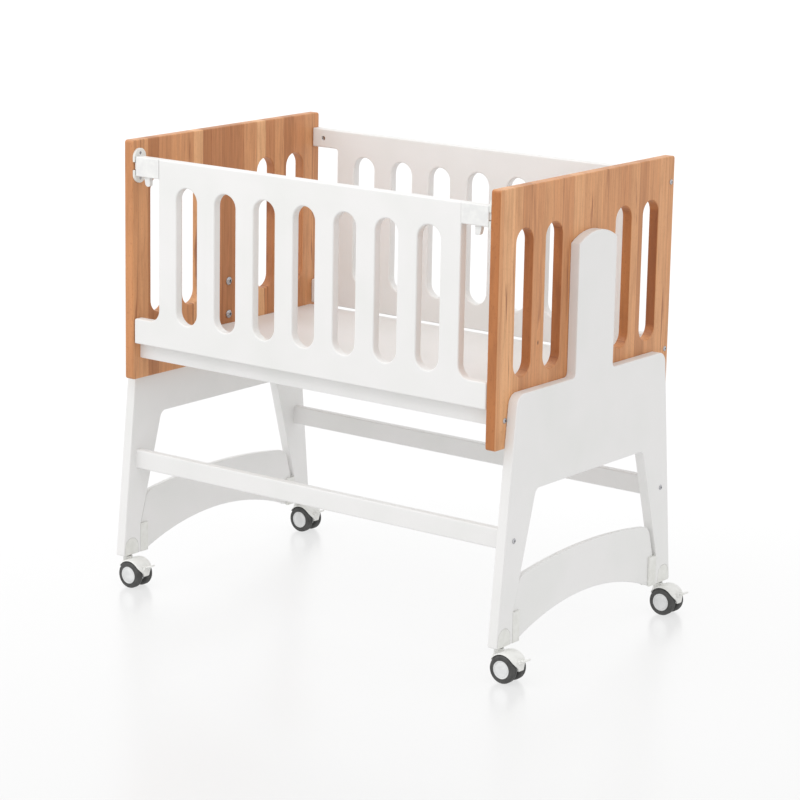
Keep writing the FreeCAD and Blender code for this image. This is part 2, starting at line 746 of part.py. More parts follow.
def latch_housing():
    """Right-hand latch housing: a channel for the bolt, a slot for the trigger, a screwed flange."""
    stile = inner_face - rail_end_window
    end = inner_face - keeper_thickness - latch_end_gap
    top, low = up(rail_top_level), up(rail_top_level) - rail_stub_height
    near, far = -rail_place - rail_thickness / 2.0, -rail_place + rail_thickness / 2.0
    shell = box(stile, end, near, far, low, top)
    rim = [e for e in shell.Edges if not all(abs(v.Point.x - stile) < 0.1 for v in e.Vertexes)]
    shell = shell.makeFillet(latch_edge_radius, rim)
    flange = box(stile - flange_length, stile, far - flange_thickness, far - flange_seat,
                 low + flange_margin, top - rail_edge_radius - 2.0 * flange_margin)
    ends = [e for e in edges_along(flange, "y") if abs(e.Vertexes[0].Point.x - stile) > 0.1]
    shell = shell.fuse(flange.makeFillet(flange_corner_radius, ends))
    z = up(stub_level)
    half_y = latch_bolt_width / 2.0 + latch_bolt_play
    half_z = latch_bolt_height / 2.0 + latch_bolt_play
    channel = box(stile + latch_wall, end + cutter_overrun, -rail_place - half_y, -rail_place + half_y,
                  z - half_z, z + half_z)
    x = inner_face - trigger_place
    gap = trigger_width / 2.0 + latch_bolt_play
    half_way = trigger_thickness / 2.0 + latch_bolt_play
    way = box(x - gap - latch_travel, x + gap, -rail_place - half_way, -rail_place + half_way,
              low - cutter_overrun, z)
    return without_screws(shell.cut(channel).cut(way), right_housing_screws())


def right_housing_screws():
    stile = inner_face - rail_end_window
    back = -rail_place + rail_thickness / 2.0 - flange_seat
    z = up(stub_level)
    return [(V(stile - flange_length / 2.0, back, z + h), V(0, -1, 0), housing_screw_length)
            for h in (-housing_screw_pitch / 2.0, housing_screw_pitch / 2.0)]


def housing_screws():
    right = right_housing_screws()
    return right + mirrored_places(right)


def latch_bolt():
    """Sliding bolt with a finger trigger under it, at rest in the keeper's groove."""
    z = up(stub_level)
    tip = inner_face - latch_bolt_rest
    bolt = box(tip - latch_bolt_length, tip, -rail_place - latch_bolt_width / 2.0,
               -rail_place + latch_bolt_width / 2.0, z - latch_bolt_height / 2.0,
               z + latch_bolt_height / 2.0)
    nose = [e for e in bolt.Edges if all(abs(v.Point.x - tip) < 0.1 for v in e.Vertexes)]
    bolt = bolt.makeFillet(latch_bolt_nose, nose)
    low = up(rail_top_level) - rail_stub_height - trigger_drop
    middle = inner_face - trigger_place
    rear, front = middle - trigger_width / 2.0, middle + trigger_width / 2.0
    finger = outline([(rear, z, 0), (rear, low, trigger_rear_radius),
                      (front - trigger_taper, low, trigger_front_radius),
                      (front, low + trigger_taper_rise, trigger_taper_radius), (front, z, 0)],
                     on_xz(-rail_place - trigger_thickness / 2.0))
    return bolt.fuse(slab(finger, V(0, trigger_thickness, 0)))


def latch_spring():
    """Compression spring behind the bolt."""
    seat = spring_wire / 2.0 + spring_seat
    start = inner_face - rail_end_window + latch_wall + seat
    end = inner_face - latch_bolt_rest - latch_bolt_length - seat
    radius = (spring_diameter - spring_wire) / 2.0
    height = end - start
    helix = Part.makeHelix(height / spring_turns, height, radius)
    section = Part.Wire(Part.Circle(V(radius, 0, 0), V(0, 1, 0), spring_wire / 2.0).toShape())
    coil = Part.Wire(helix.Edges).makePipeShell([section], True, True)
    coil.rotate(V(0, 0, 0), V(0, 1, 0), 90.0)
    coil.translate(V(start, -rail_place, up(stub_level)))
    return coil


# ---------------------------------------------------------------- casters
def socket_blank(y, x0, x1, slack):
    """Round-topped block in the foot, seen from the end; slack widens it for the leg's notch."""
    foot = up(caster_height)
    half = socket_width / 2.0 + slack
    top = foot + socket_height + slack
    block = box(x0, x1, y - half, y + half, foot - slack, top - half)
    cap = rod(V(x0, y, top - half), V(1, 0, 0), x1 - x0, 2.0 * half)
    floor = box(x0, x1, y - half, y + half, foot - crib_width, foot - slack)
    return block.fuse(cap).cut(floor).removeSplitter()


def caster_socket(y):
    """Plastic block let into the foot, bored for the caster's stem."""
    block = socket_blank(y, half_length, leg_face, 0.0)
    bore = rod(V(half_length + leg_thickness / 2.0, y, up(caster_height) - cutter_overrun), V(0, 0, 1),
               stem_grip + cutter_overrun + stem_end_play, stem_diameter)
    return block.cut(bore)


def stem_foot_level():
    return axle_level + stem_rise


def caster_stem():
    """Stem and collar, upright on the swivel axis, floor at z = 0."""
    foot = stem_foot_level()
    stem = rod(V(0, 0, foot), V(0, 0, 1), caster_height + stem_grip - foot, stem_diameter)
    collar = rod(V(0, 0, caster_height - stem_collar_thickness), V(0, 0, 1), stem_collar_thickness,
                 stem_collar_diameter)
    return stem.fuse(collar)


def brake_pivot():
    return V(caster_trail + wheel_radius + brake_pivot_gap, 0, axle_level + brake_pivot_rise)


def hood_rim():
    """Wedge under the hood's sloping rim, to cut away."""
    front, rear = hood_plan_shift - hood_plan_radius, hood_plan_shift + hood_plan_radius
    corners = [(front, axle_level + hood_front_rim, 0), (rear, axle_level + hood_rear_rim, 0),
               (rear, -cutter_overrun, 0), (front, -cutter_overrun, 0)]
    return slab(outline(corners, on_xz(-crib_width)), V(0, 2.0 * crib_width, 0))


def along_y(centre, start, length, diameter):
    """Round bar along Y from centre's y plus start; a negative length runs towards -Y."""
    return rod(centre + V(0, start, 0), V(0, math.copysign(1.0, length), 0), abs(length), diameter)


def caster_hood():
    """Dome over the wheels with a web between them, ears for the brake and a bearing for the stem."""
    centre = wheel_centre()
    half = wheel_gap / 2.0 + wheel_width
    dome = along_y(centre, -half, 2.0 * half, 2.0 * hood_radius)
    dome = dome.common(rod(V(hood_plan_shift, 0, 0), V(0, 0, 1), caster_height, 2.0 * hood_plan_radius))
    dome = dome.cut(hood_rim())
    tower_top = caster_height - stem_collar_thickness - swivel_gap
    dome = dome.fuse(rod(V(0, 0, axle_level + hood_front_rim), V(0, 0, 1),
                         tower_top - axle_level - hood_front_rim, hood_tower_diameter))
    room = 2.0 * (wheel_radius + hood_wheel_gap)
    for side in (-1, 1):
        dome = dome.cut(along_y(centre, side * hood_web / 2.0, side * half, room))
    pivot = brake_pivot()
    ear = brake_pin_diameter + 2.0 * brake_ear_wall
    slot_half = brake_barrel / 2.0 + swivel_gap
    for side in (-1, 1):
        dome = dome.fuse(along_y(pivot, side * slot_half, side * brake_ear, ear))
    dome = dome.cut(along_y(pivot, -slot_half, 2.0 * slot_half, ear + 2.0 * cutter_overrun))
    dome = dome.cut(box(pivot.x, pivot.x + hood_radius, -slot_half, slot_half, 0, caster_height))
    dome = dome.cut(along_y(pivot, -half, 2.0 * half, brake_pin_diameter + 2.0 * running_clearance))
    dome = dome.cut(along_y(centre, -half, 2.0 * half, axle_diameter))
    return dome.cut(rod(V(0, 0, stem_foot_level() - stem_end_play), V(0, 0, 1), caster_height,
                        stem_diameter + 2.0 * running_clearance))


def wheel_centre():
    return V(caster_trail, 0, axle_level)


def caster_axle():
    reach = wheel_gap / 2.0 + wheel_width - axle_end
    return along_y(wheel_centre(), -reach, 2.0 * reach, axle_diameter)


def caster_hub(side):
    """Wheel centre with a raised ring and a domed, closed outer face."""
    centre, inner = wheel_centre(), wheel_gap / 2.0
    radius, face = wheel_radius - tyre_thickness, wheel_gap / 2.0 + wheel_width
    hub = along_y(centre, side * inner, side * wheel_width, 2.0 * radius)
    hub = hub.cut(along_y(centre, side * face, -side * hub_ring_depth, 2.0 * (radius - hub_ring_width)))
    bulge = Part.makeSphere(hub_cap_radius, centre + V(0, side * (face + hub_cap_rise - hub_cap_radius), 0))
    cap = along_y(centre, side * (face - hub_bore_wall), side * wheel_width,
                  2.0 * (radius - hub_ring_width - hub_cap_gap)).common(bulge)
    bore = along_y(centre, side * inner, side * (wheel_width - hub_bore_wall),
                   axle_diameter + 2.0 * running_clearance)
    return hub.fuse(cap).cut(bore)


def caster_tyre(side):
    """Tread ring round a wheel centre."""
    start, width = side * wheel_gap / 2.0, side * wheel_width
    tyre = along_y(wheel_centre(), start, width, 2.0 * wheel_radius)
    tyre = tyre.makeFillet(tyre_shoulder, [e for e in tyre.Edges if len(e.Vertexes) == 1])
    return tyre.cut(along_y(wheel_centre(), start, width, 2.0 * (wheel_radius - tyre_thickness)))


def brake_lever():
    """Foot lever behind the hood, turning on its own stub pins."""
    pivot = brake_pivot()
    lever = along_y(pivot, -brake_barrel / 2.0, brake_barrel,
                    brake_pin_diameter + 2.0 * brake_barrel_wall)
    reach = brake_barrel / 2.0 + brake_ear
    lever = lever.fuse(along_y(pivot, -reach, 2.0 * reach, brake_pin_diameter))
    low, high = pivot.z - brake_thickness / 2.0, pivot.z + brake_thickness / 2.0
    neck = box(pivot.x, pivot.x + brake_length / 2.0, -brake_barrel / 2.0, brake_barrel / 2.0, low, high)
    pedal = box(pivot.x + brake_neck, pivot.x + brake_length, -brake_width / 2.0, brake_width / 2.0,
                low, high)
    tips = [e for e in edges_along(pedal, "z") if e.Vertexes[0].Point.x > pivot.x + brake_length / 2.0]
    lever = lever.fuse(neck).fuse(pedal.makeFillet(brake_corner_radius, tips))
    lever.rotate(pivot, V(0, 1, 0), -brake_lift)
    return lever


def caster_corner(name, x, y, outer):
    """Nodes of one caster at (x, y); outer is the side, along Y, that faces away from the crib."""
    pieces = {
        "hood": caster_hood(),
        "axle": caster_axle(),
        "brake_lever": brake_lever(),
        "outer_hub": caster_hub(outer),
        "inner_hub": caster_hub(-outer),
        "outer_tyre": caster_tyre(outer),
        "inner_tyre": caster_tyre(-outer),
    }
    return {name + "_" + key: moved(piece, x, y, up(0.0)) for key, piece in pieces.items()}


# ---------------------------------------------------------------- the whole crib
def both_ends(solids):
    return group(solids + [mirrored(s) for s in solids])


def all_nodes():
    """Every node's name and shape; the left end mirrors the right one."""
    nodes = {}
    nodes["right_end_panel"] = end_panel()
    nodes["right_leg_frame"] = leg_frame()
    nodes["right_rocker_arch"] = rocker_arch()
    nodes["right_latch_housing"] = latch_housing()
    nodes["right_latch_bolt"] = latch_bolt()
    nodes["right_latch_spring"] = latch_spring()
    for name in list(nodes):
        nodes[name.replace("right", "left")] = mirrored(nodes[name])
    nodes["back_rail"] = back_rail()
    nodes["front_rail"] = front_rail()
    nodes["front_base_beam"] = base_beam(-1)
    nodes["back_base_beam"] = base_beam(1)
    screws = batten_screws() + mirrored_places(batten_screws())
    nodes["base_battens"] = group([without_screws(batten, screws) for batten in base_battens()])
    nodes["base_board"] = base_board()
    nodes["front_stretcher"] = stretcher(-1)
    nodes["back_stretcher"] = stretcher(1)
    nodes["rocker_brackets"] = both_ends(rocker_brackets())
    nodes["latch_keepers"] = both_ends([keeper()])
    nodes["rail_hinge_pins"] = both_ends([hinge_pin()])
    nodes["latch_housing_screws"] = group(screws_at(housing_screws()))
    nodes["panel_bolts"] = both_ends([cross_bolt(half_length, y, up(level), panel_thickness)
                                      for y, level in panel_bolt_places()])
    nodes["stretcher_bolts"] = both_ends([cross_bolt(leg_face, side * stretcher_place, up(stretcher_level),
                                                     leg_thickness) for side in (-1, 1)])
    nodes["barrel_nuts"] = both_ends(barrel_nuts())
    nodes["leg_frame_bolts"] = both_ends(leg_bolts())
    nodes["threaded_inserts"] = both_ends(threaded_inserts())
    nodes["wood_screws"] = both_ends(screws_at(bracket_screws() + keeper_screws() + batten_screws()))
    nodes["caster_sockets"] = both_ends([caster_socket(y) for y in (-caster_place, caster_place)])
    x = half_length + leg_thickness / 2.0
    stems = []
    for end, end_name in ((-1, "left"), (1, "right")):
        for side, side_name in ((-1, "front"), (1, "back")):
            stems.append(moved(caster_stem(), end * x, side * caster_place, up(0.0)))
            nodes.update(caster_corner(side_name + "_" + end_name, end * x, side * caster_place, side))
    nodes["caster_stems"] = group(stems)
    return nodes


def main():
    os.makedirs("parts", exist_ok=True)
    nodes = all_nodes()
    for name, shape in nodes.items():
        if not shape.isValid() or not shape.Solids:
            raise ValueError(name + " is not a sound solid")
        shape.exportStep("parts/" + name + ".step")
    print(len(nodes), "nodes")


main()
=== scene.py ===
import json
import math

import bmesh
import bpy
import numpy as np
from bpy.props import FloatProperty, FloatVectorProperty, IntProperty, PointerProperty, StringProperty
from mathutils import Matrix, Vector


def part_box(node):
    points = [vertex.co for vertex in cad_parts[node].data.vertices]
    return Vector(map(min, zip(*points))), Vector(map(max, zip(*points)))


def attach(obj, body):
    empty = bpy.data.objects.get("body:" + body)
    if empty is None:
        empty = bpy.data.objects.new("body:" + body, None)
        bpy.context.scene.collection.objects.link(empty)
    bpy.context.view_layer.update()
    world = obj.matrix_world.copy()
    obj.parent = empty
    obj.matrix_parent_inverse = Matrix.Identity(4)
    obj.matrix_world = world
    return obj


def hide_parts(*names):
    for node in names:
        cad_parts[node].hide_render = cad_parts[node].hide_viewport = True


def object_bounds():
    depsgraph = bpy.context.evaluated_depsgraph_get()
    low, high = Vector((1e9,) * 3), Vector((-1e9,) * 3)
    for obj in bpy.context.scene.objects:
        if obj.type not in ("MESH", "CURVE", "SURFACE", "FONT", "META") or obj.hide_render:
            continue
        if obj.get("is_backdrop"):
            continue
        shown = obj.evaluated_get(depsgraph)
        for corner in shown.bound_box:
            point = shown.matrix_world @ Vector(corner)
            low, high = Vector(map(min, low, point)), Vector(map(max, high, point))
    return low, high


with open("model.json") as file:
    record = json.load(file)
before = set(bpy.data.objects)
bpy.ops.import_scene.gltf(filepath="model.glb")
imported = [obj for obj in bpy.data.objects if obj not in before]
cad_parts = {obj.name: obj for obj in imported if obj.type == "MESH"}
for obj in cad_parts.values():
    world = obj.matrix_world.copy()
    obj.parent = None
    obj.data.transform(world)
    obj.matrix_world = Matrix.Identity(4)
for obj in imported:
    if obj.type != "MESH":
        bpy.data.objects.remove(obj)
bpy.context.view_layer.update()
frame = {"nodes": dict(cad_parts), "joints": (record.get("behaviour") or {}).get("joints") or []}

bl_info = {
    "name": "Bedside Crib",
    "version": (1, 0, 0),
    "blender": (4, 5, 0),
    "location": "View3D > Sidebar > Crib",
    "description": "Builds the looks of a bedside crib around its fixed frame",
    "category": "Object",
}

MM = 0.001
HOOD_ROOM, HOOD_REACH = 1.6 * MM, 5.7 * MM          # the hood's inside and outside, beyond the tyre
HOOD_SET_IN = 1.8 * MM                              # how much narrower the hood is at each side than its box
HOOD_PLAN_SHIFT, HOOD_PLAN_EXTRA = -3.0 * MM, 3.8 * MM
HOOD_START, HOOD_END = 152.0, -3.0                  # degrees about the axle from +X, over the top
TOWER_DEPTH, STEM_HOLE_DEPTH, STEM_HOLE_RADIUS = 22.0 * MM, 14.0 * MM, 5.2 * MM
EAR_PLACE, EAR_RADIUS, EAR_HALF = 8.1 * MM, 4.4 * MM, 1.6 * MM
PEDAL_LIFT = 24.0                                   # degrees
LEG_BOLT_HEAD, LEG_BOLT_SHANK = 5.0 * MM, 8.0 * MM
BOLT_HEAD, BOLT_SHANK = 2.4 * MM, 6.0 * MM
SCREW_HEAD_RADIUS, SCREW_SHANK_RADIUS = 3.8 * MM, 2.0 * MM
SMALL_KEY, LARGE_KEY = 2.0 * MM, 2.9 * MM           # radius of a hexagon socket
LATCH_SHADE, FITTING_SHADE = "E1E1E0", "DEDED9"
# the axle and stem steel colours are darker than the zinc, partly as painted shade for the shadowed gap
# between the foot and the hood
ZINC_SHADE, WIRE, WIRE_SHADE, AXLE_PAINTED_SHADE_GREY, AXLE_PAINTED_SHADE_CLOUD = "A8A8AC", "B4B4B6", "98989C", "7C7C7E", "5E5E62"
FLOOR_HALF = 30.0
OVERHEAD_SIZE, OVERHEAD_PLACE, OVERHEAD_TARGET = 2.4, (-0.5, -1.7, 2.6), (0.0, 0.0, -0.1)
SIDE_SIZE, SIDE_PLACE, SIDE_TARGET = 2.2, (-3.0, -2.6, 1.6), (0.0, 0.0, 0.0)
SENSOR = 36.0                                       # millimetres
JOINTS = {joint["name"]: joint for joint in frame["joints"]}
CORNERS = [side + "_" + end for side in ("front", "back") for end in ("left", "right")]
LACQUERED = [
    "left_leg_frame", "right_leg_frame", "left_rocker_arch", "right_rocker_arch", "front_stretcher",
    "back_stretcher", "front_rail", "back_rail", "front_base_beam", "back_base_beam", "base_battens",
    "base_board",
]


# ---------------------------------------------------------------- numbers and surfaces
def linear(text):
    """Linear RGBA of an sRGB hex colour such as "D8A67E"."""
    values = np.array([int(text[i:i + 2], 16) / 255.0 for i in (0, 2, 4)])
    curve = np.where(values <= 0.04045, values / 12.92, ((values + 0.055) / 1.055) ** 2.4)
    return (*curve.tolist(), 1.0)


def rounded(corners, steps=6):
    """Polyline through (u, v, radius) corners, each corner turned into an arc.

    An arc's centre is radius / sin(half angle) from the corner along the bisector, and its points are
    centre + radius (cos a, sin a) between the two tangent points.
    """
    points = np.array([c[:2] for c in corners], float)
    parts = []
    for i, corner in enumerate(corners):
        here, radius = points[i], corner[2]
        if radius <= 0 or i in (0, len(corners) - 1):
            parts.append(here[None])
            continue
        before = (points[i - 1] - here) / np.linalg.norm(points[i - 1] - here)
        after = (points[i + 1] - here) / np.linalg.norm(points[i + 1] - here)
        half = math.acos(float(np.clip(before @ after, -1.0, 1.0))) / 2.0
        centre = here + (before + after) / np.linalg.norm(before + after) * radius / math.sin(half)
        first = here + before * radius / math.tan(half) - centre
        last = here + after * radius / math.tan(half) - centre
        a0 = math.atan2(first[1], first[0])
        turn = math.remainder(math.atan2(last[1], last[0]) - a0, 2.0 * math.pi)
        a = a0 + turn * np.linspace(0.0, 1.0, steps)
        parts.append(centre + radius * np.stack([np.cos(a), np.sin(a)], 1))
    return np.concatenate(parts)


def grid_faces(rows, columns, offset):
    """Quads of a grid whose columns close on themselves: (i, j), (i, j+1), (i+1, j+1), (i+1, j)."""
    i, j = np.meshgrid(np.arange(rows - 1), np.arange(columns), indexing="ij")
    k = (j + 1) % columns
    quads = np.stack([i * columns + j, i * columns + k, (i + 1) * columns + k, (i + 1) * columns + j], -1)
    return (quads.reshape(-1, 4) + offset).tolist()


class Shells:
    """Closed shells gathered into one mesh."""

    def __init__(self):
        self.points, self.faces, self.count = [], [], 0

    def add(self, loops):
        """A skin over closed loops of points, an array of (loop, point, xyz), capped at both ends.

        A loop shrunk to one point becomes a fan, because its doubles are merged afterwards.
        """
        rows, columns = loops.shape[:2]
        self.points.append(loops.reshape(-1, 3))
        self.faces += grid_faces(rows, columns, self.count)
        first = self.count + np.arange(columns)
        self.faces.append(first[::-1].tolist())
        self.faces.append((first + (rows - 1) * columns).tolist())
        self.count += rows * columns

    def object(self, name, sharp_degrees=40.0):
        """A Blender object of the shells: doubles merged, faces outwards, smooth but for sharp edges."""
        mesh = bpy.data.meshes.new(name)
        mesh.from_pydata(np.concatenate(self.points).tolist(), [], self.faces)
        made = bpy.data.objects.new(name, mesh)
        bpy.context.scene.collection.objects.link(made)
        clean(mesh)
        mesh.shade_smooth()
        mesh.set_sharp_from_angle(angle=math.radians(sharp_degrees))
        return made


def clean(mesh):
    """Merge doubles, drop faces with no area and turn every face outwards."""
    work = bmesh.new()
    work.from_mesh(mesh)
    bmesh.ops.remove_doubles(work, verts=work.verts, dist=1e-7)
    flat = [f for f in work.faces if f.calc_area() < 1e-13]
    bmesh.ops.delete(work, geom=flat, context="FACES")
    bmesh.ops.recalc_face_normals(work, faces=work.faces)
    work.to_mesh(mesh)
    work.free()


def turned(profile, steps=56, shape=None):
    """Loops of a profile of (radius, height) turned about +Z: (r cos t, r sin t, h).

    shape(t, row) gives a factor on the radius, for a hexagon or a cross.
    """
    t = np.linspace(0.0, 2.0 * math.pi, steps, endpoint=False)
    radius = np.repeat(profile[:, :1], steps, 1)
    if shape is not None:
        radius = radius * shape(t, len(profile))
    height = np.repeat(profile[:, 1:2], steps, 1)
    return np.stack([radius * np.cos(t), radius * np.sin(t), height], -1)


def placed(loops, centre, axis):
    """Turn loops made about +Z so that +Z lies along axis, and move them to centre."""
    turn = np.array(Vector((0, 0, 1)).rotation_difference(Vector(axis)).to_matrix())
    return loops @ turn.T + np.array(centre)


def solids_of(node):
    """Lowest and highest corner of each separate solid in a CAD node.

    Points at one place share a number, and each edge hands its smaller number on until none changes.
    """
    mesh = frame["nodes"][node].data
    points = np.zeros(len(mesh.vertices) * 3)
    mesh.vertices.foreach_get("co", points)
    points = points.reshape(-1, 3)
    ends = np.zeros(len(mesh.edges) * 2, int)
    mesh.edges.foreach_get("vertices", ends)
    _, same = np.unique(np.round(points, 6), axis=0, return_inverse=True)
    same = same.reshape(-1)
    ends = same[ends.reshape(-1, 2)]
    label = np.arange(same.max() + 1)
    while True:
        lowest = np.minimum(label[ends[:, 0]], label[ends[:, 1]])
        after = label.copy()
        np.minimum.at(after, ends[:, 0], lowest)
        np.minimum.at(after, ends[:, 1], lowest)
        after = after[after]
        if (after == label).all():
            break
        label = after
    of_point = label[same]
    boxes = [points[of_point == k] for k in np.unique(of_point)]
    return [(b.min(0), b.max(0)) for b in boxes]


# ---------------------------------------------------------------- materials
def node(tree, kind, inputs=None, stops=None, **settings):
    """Add a node, set its properties, fill or link its inputs and lay out a ramp's stops."""
    made = tree.nodes.new(kind)
    for key, value in settings.items():
        setattr(made, key, value)
    for key, value in (inputs or {}).items():
        if isinstance(value, bpy.types.NodeSocket):
            tree.links.new(value, made.inputs[key])
        else:
            made.inputs[key].default_value = value
    if stops:
        ramp = made.color_ramp.elements
        while len(ramp) < len(stops):
            ramp.new(0.5)
        for element, (place, colour) in zip(ramp, stops):
            element.position = place
            element.color = colour
    return made


def blank(name):
    """A material with its shader and object coordinates: (material, tree, shader, coordinates)."""
    made = bpy.data.materials.new(name)
    made.use_nodes = True
    tree = made.node_tree
    shader = tree.nodes["Principled BSDF"]
    coordinates = node(tree, "ShaderNodeTexCoord").outputs["Object"]
    return made, tree, shader, coordinates


def finish_shader(shader, **values):
    """Set constants on the shader's own sockets."""
    for key, value in values.items():
        shader.inputs[key.replace("_", " ")].default_value = value


def oiled_beech(name, sizes, colours, shift, contrast, edge):
    """Oiled heart beech, edge-glued: staves of differing tone, fine grain, rays, dark heart and knots.

    The oil leaves a low sheen, so the roughness is middling and the grain barely stands up. Faces that
    look to the front or back are darkened as painted shade; edge is how much darker they are, from 0 to 1.
    """
    made, tree, shader, raw = blank(name)
    stave, grain = sizes.stave_width, sizes.grain_width
    at = node(tree, "ShaderNodeMapping", {"Vector": raw, "Location": (0.0, shift, shift * 1.7)})
    axes = node(tree, "ShaderNodeSeparateXYZ", {0: at.outputs[0]})
    bend = node(tree, "ShaderNodeTexNoise", {"Vector": at.outputs[0], "Scale": 3.0, "Detail": 1.0})
    # each stave is one cell along Y; its random colour gives its tone, its warmth and its own grain
    staves = {"W": axes.outputs["Y"], "Scale": 1.0 / stave, "Randomness": 0.62}
    cell = node(tree, "ShaderNodeTexVoronoi", staves, voronoi_dimensions="1D")
    seam = node(tree, "ShaderNodeTexVoronoi", staves, voronoi_dimensions="1D", feature="DISTANCE_TO_EDGE")
    luck = node(tree, "ShaderNodeSeparateColor", {0: cell.outputs["Color"]})
    own = node(tree, "ShaderNodeCombineXYZ", {"X": luck.outputs[2], "Y": luck.outputs[1],
                                              "Z": luck.outputs[0]})
    away = node(tree, "ShaderNodeVectorMath", {0: own.outputs[0], 1: (7.0, 3.0, 11.0)}, operation="MULTIPLY")
    local = node(tree, "ShaderNodeVectorMath", {0: at.outputs[0], 1: away.outputs[0]}, operation="ADD")
    fibre = node(tree, "ShaderNodeMapping", {"Vector": local.outputs[0], "Scale": (
        0.35 / grain, 1.0 / grain, 1.0 / (grain * 45.0))})
    lines = node(tree, "ShaderNodeTexNoise", {"Vector": fibre.outputs[0], "Scale": 1.0, "Detail": 4.0,
                                              "Roughness": 0.62, "Distortion": 0.25})
    ring_at = node(tree, "ShaderNodeMapping", {"Vector": local.outputs[0], "Scale": (12.0, 26.0, 1.6)})
    rings = node(tree, "ShaderNodeTexWave", {"Vector": ring_at.outputs[0], "Scale": 1.0, "Distortion": 5.0,
                                             "Detail": 2.0, "Detail Scale": 0.7, "Detail Roughness": 0.5},
                 bands_direction="Y")
    heart_at = node(tree, "ShaderNodeMapping", {"Vector": local.outputs[0], "Scale": (20.0, 90.0, 4.5)})
    heart = node(tree, "ShaderNodeTexNoise", {"Vector": heart_at.outputs[0], "Scale": 1.0, "Detail": 3.0,
                                              "Roughness": 0.55, "Distortion": 0.6})
    # rays are 1 to 3 mm dashes on the real board, drawn twice as large so that they show
    ray_at = node(tree, "ShaderNodeMapping", {"Vector": local.outputs[0], "Scale": (300.0, 620.0, 150.0)})
    rays = node(tree, "ShaderNodeTexNoise", {"Vector": ray_at.outputs[0], "Scale": 1.0, "Detail": 1.0})

    tone = node(tree, "ShaderNodeValToRGB", {0: luck.outputs[0]}, stops=[
        (0.0, linear(colours.beech_dark)), (0.35, linear(colours.beech_mid)),
        (0.75, linear(colours.beech_light)), (1.0, linear(colours.beech_pale))])
    grain_tint = node(tree, "ShaderNodeValToRGB", {0: lines.outputs[0]}, stops=[
        (0.30, (0.70, 0.62, 0.56, 1.0)), (0.52, (0.98, 0.97, 0.96, 1.0)), (0.72, (1.06, 1.06, 1.06, 1.0))])
    evened = node(tree, "ShaderNodeMix", {0: contrast, 6: linear(colours.beech_even), 7: tone.outputs[0]},
                  data_type="RGBA")
    colour = node(tree, "ShaderNodeMix", {0: 0.38, 6: evened.outputs[2], 7: grain_tint.outputs[0]},
                  data_type="RGBA", blend_type="MULTIPLY")
    flame_at = node(tree, "ShaderNodeMapping", {"Vector": local.outputs[0], "Scale": (30.0, 62.0, 7.0)})
    flame = node(tree, "ShaderNodeTexNoise", {"Vector": flame_at.outputs[0], "Scale": 1.0, "Detail": 3.0,
                                              "Roughness": 0.6, "Distortion": 0.4})
    flame_tint = node(tree, "ShaderNodeValToRGB", {0: flame.outputs[0]}, stops=[
        (0.34, (0.87, 0.84, 0.80, 1.0)), (0.5, (1.0, 1.0, 1.0, 1.0)), (0.68, (1.08, 1.07, 1.04, 1.0))])
    colour = node(tree, "ShaderNodeMix", {0: 1.0, 6: colour.outputs[2], 7: flame_tint.outputs[0]},
                  data_type="RGBA", blend_type="MULTIPLY")
    ring_tint = node(tree, "ShaderNodeValToRGB", {0: rings.outputs[1]}, stops=[
        (0.0, (0.86, 0.80, 0.75, 1.0)), (0.5, (1.0, 1.0, 1.0, 1.0))])
    colour = node(tree, "ShaderNodeMix", {0: 0.35, 6: colour.outputs[2], 7: ring_tint.outputs[0]},
                  data_type="RGBA", blend_type="MULTIPLY")
    heart_amount = node(tree, "ShaderNodeMapRange", {0: heart.outputs[0], 1: 0.62, 2: 0.70, 3: 0.0, 4: 0.75})
    colour = node(tree, "ShaderNodeMix", {0: heart_amount.outputs[0], 6: colour.outputs[2],
                                          7: linear(colours.beech_heart)}, data_type="RGBA")
    ray_amount = node(tree, "ShaderNodeMapRange", {0: rays.outputs[0], 1: 0.60, 2: 0.72, 3: 0.0, 4: 0.30})
    colour = node(tree, "ShaderNodeMix", {0: ray_amount.outputs[0], 6: colour.outputs[2],
                                          7: linear(colours.beech_dark)}, data_type="RGBA")
    # knots: one candidate for each patch of board, kept where the patch's luck is high
    flat = node(tree, "ShaderNodeCombineXYZ", {"X": axes.outputs["Y"], "Y": axes.outputs["Z"]})
    wavy = node(tree, "ShaderNodeVectorMath", {0: bend.outputs["Color"], 1: (0.006, 0.012, 0.0)},
                operation="MULTIPLY")
    knot_at = node(tree, "ShaderNodeVectorMath", {0: flat.outputs[0], 1: wavy.outputs[0]}, operation="ADD")
    knot_stretch = node(tree, "ShaderNodeMapping", {"Vector": knot_at.outputs[0], "Scale": (1.0, 0.62, 1.0)})
    knot = node(tree, "ShaderNodeTexVoronoi", {"Vector": knot_stretch.outputs[0],
                                               "Scale": 1.0 / sizes.knot_spacing, "Randomness": 1.0},
                voronoi_dimensions="2D")
    knot_luck = node(tree, "ShaderNodeSeparateColor", {0: knot.outputs["Color"]})
    reach = node(tree, "ShaderNodeMapRange", {0: knot_luck.outputs[0], 1: 0.45, 2: 1.0, 3: 0.0,
                                              4: sizes.knot_size / sizes.knot_spacing})
    inside = node(tree, "ShaderNodeMath", {0: reach.outputs[0], 1: knot.outputs["Distance"]},
                  operation="SUBTRACT")
    knot_amount = node(tree, "ShaderNodeMapRange", {0: inside.outputs[0], 1: 0.0, 2: 0.012, 3: 0.0, 4: 0.85})
    colour = node(tree, "ShaderNodeMix", {0: knot_amount.outputs[0], 6: colour.outputs[2],
                                          7: linear(colours.beech_knot)}, data_type="RGBA")
    seam_amount = node(tree, "ShaderNodeMapRange", {0: seam.outputs["Distance"], 1: 0.0,
                                                    2: 0.0007 / stave, 3: 0.45, 4: 0.0})
    colour = node(tree, "ShaderNodeMix", {0: seam_amount.outputs[0], 6: colour.outputs[2],
                                          7: linear(colours.beech_heart)}, data_type="RGBA")
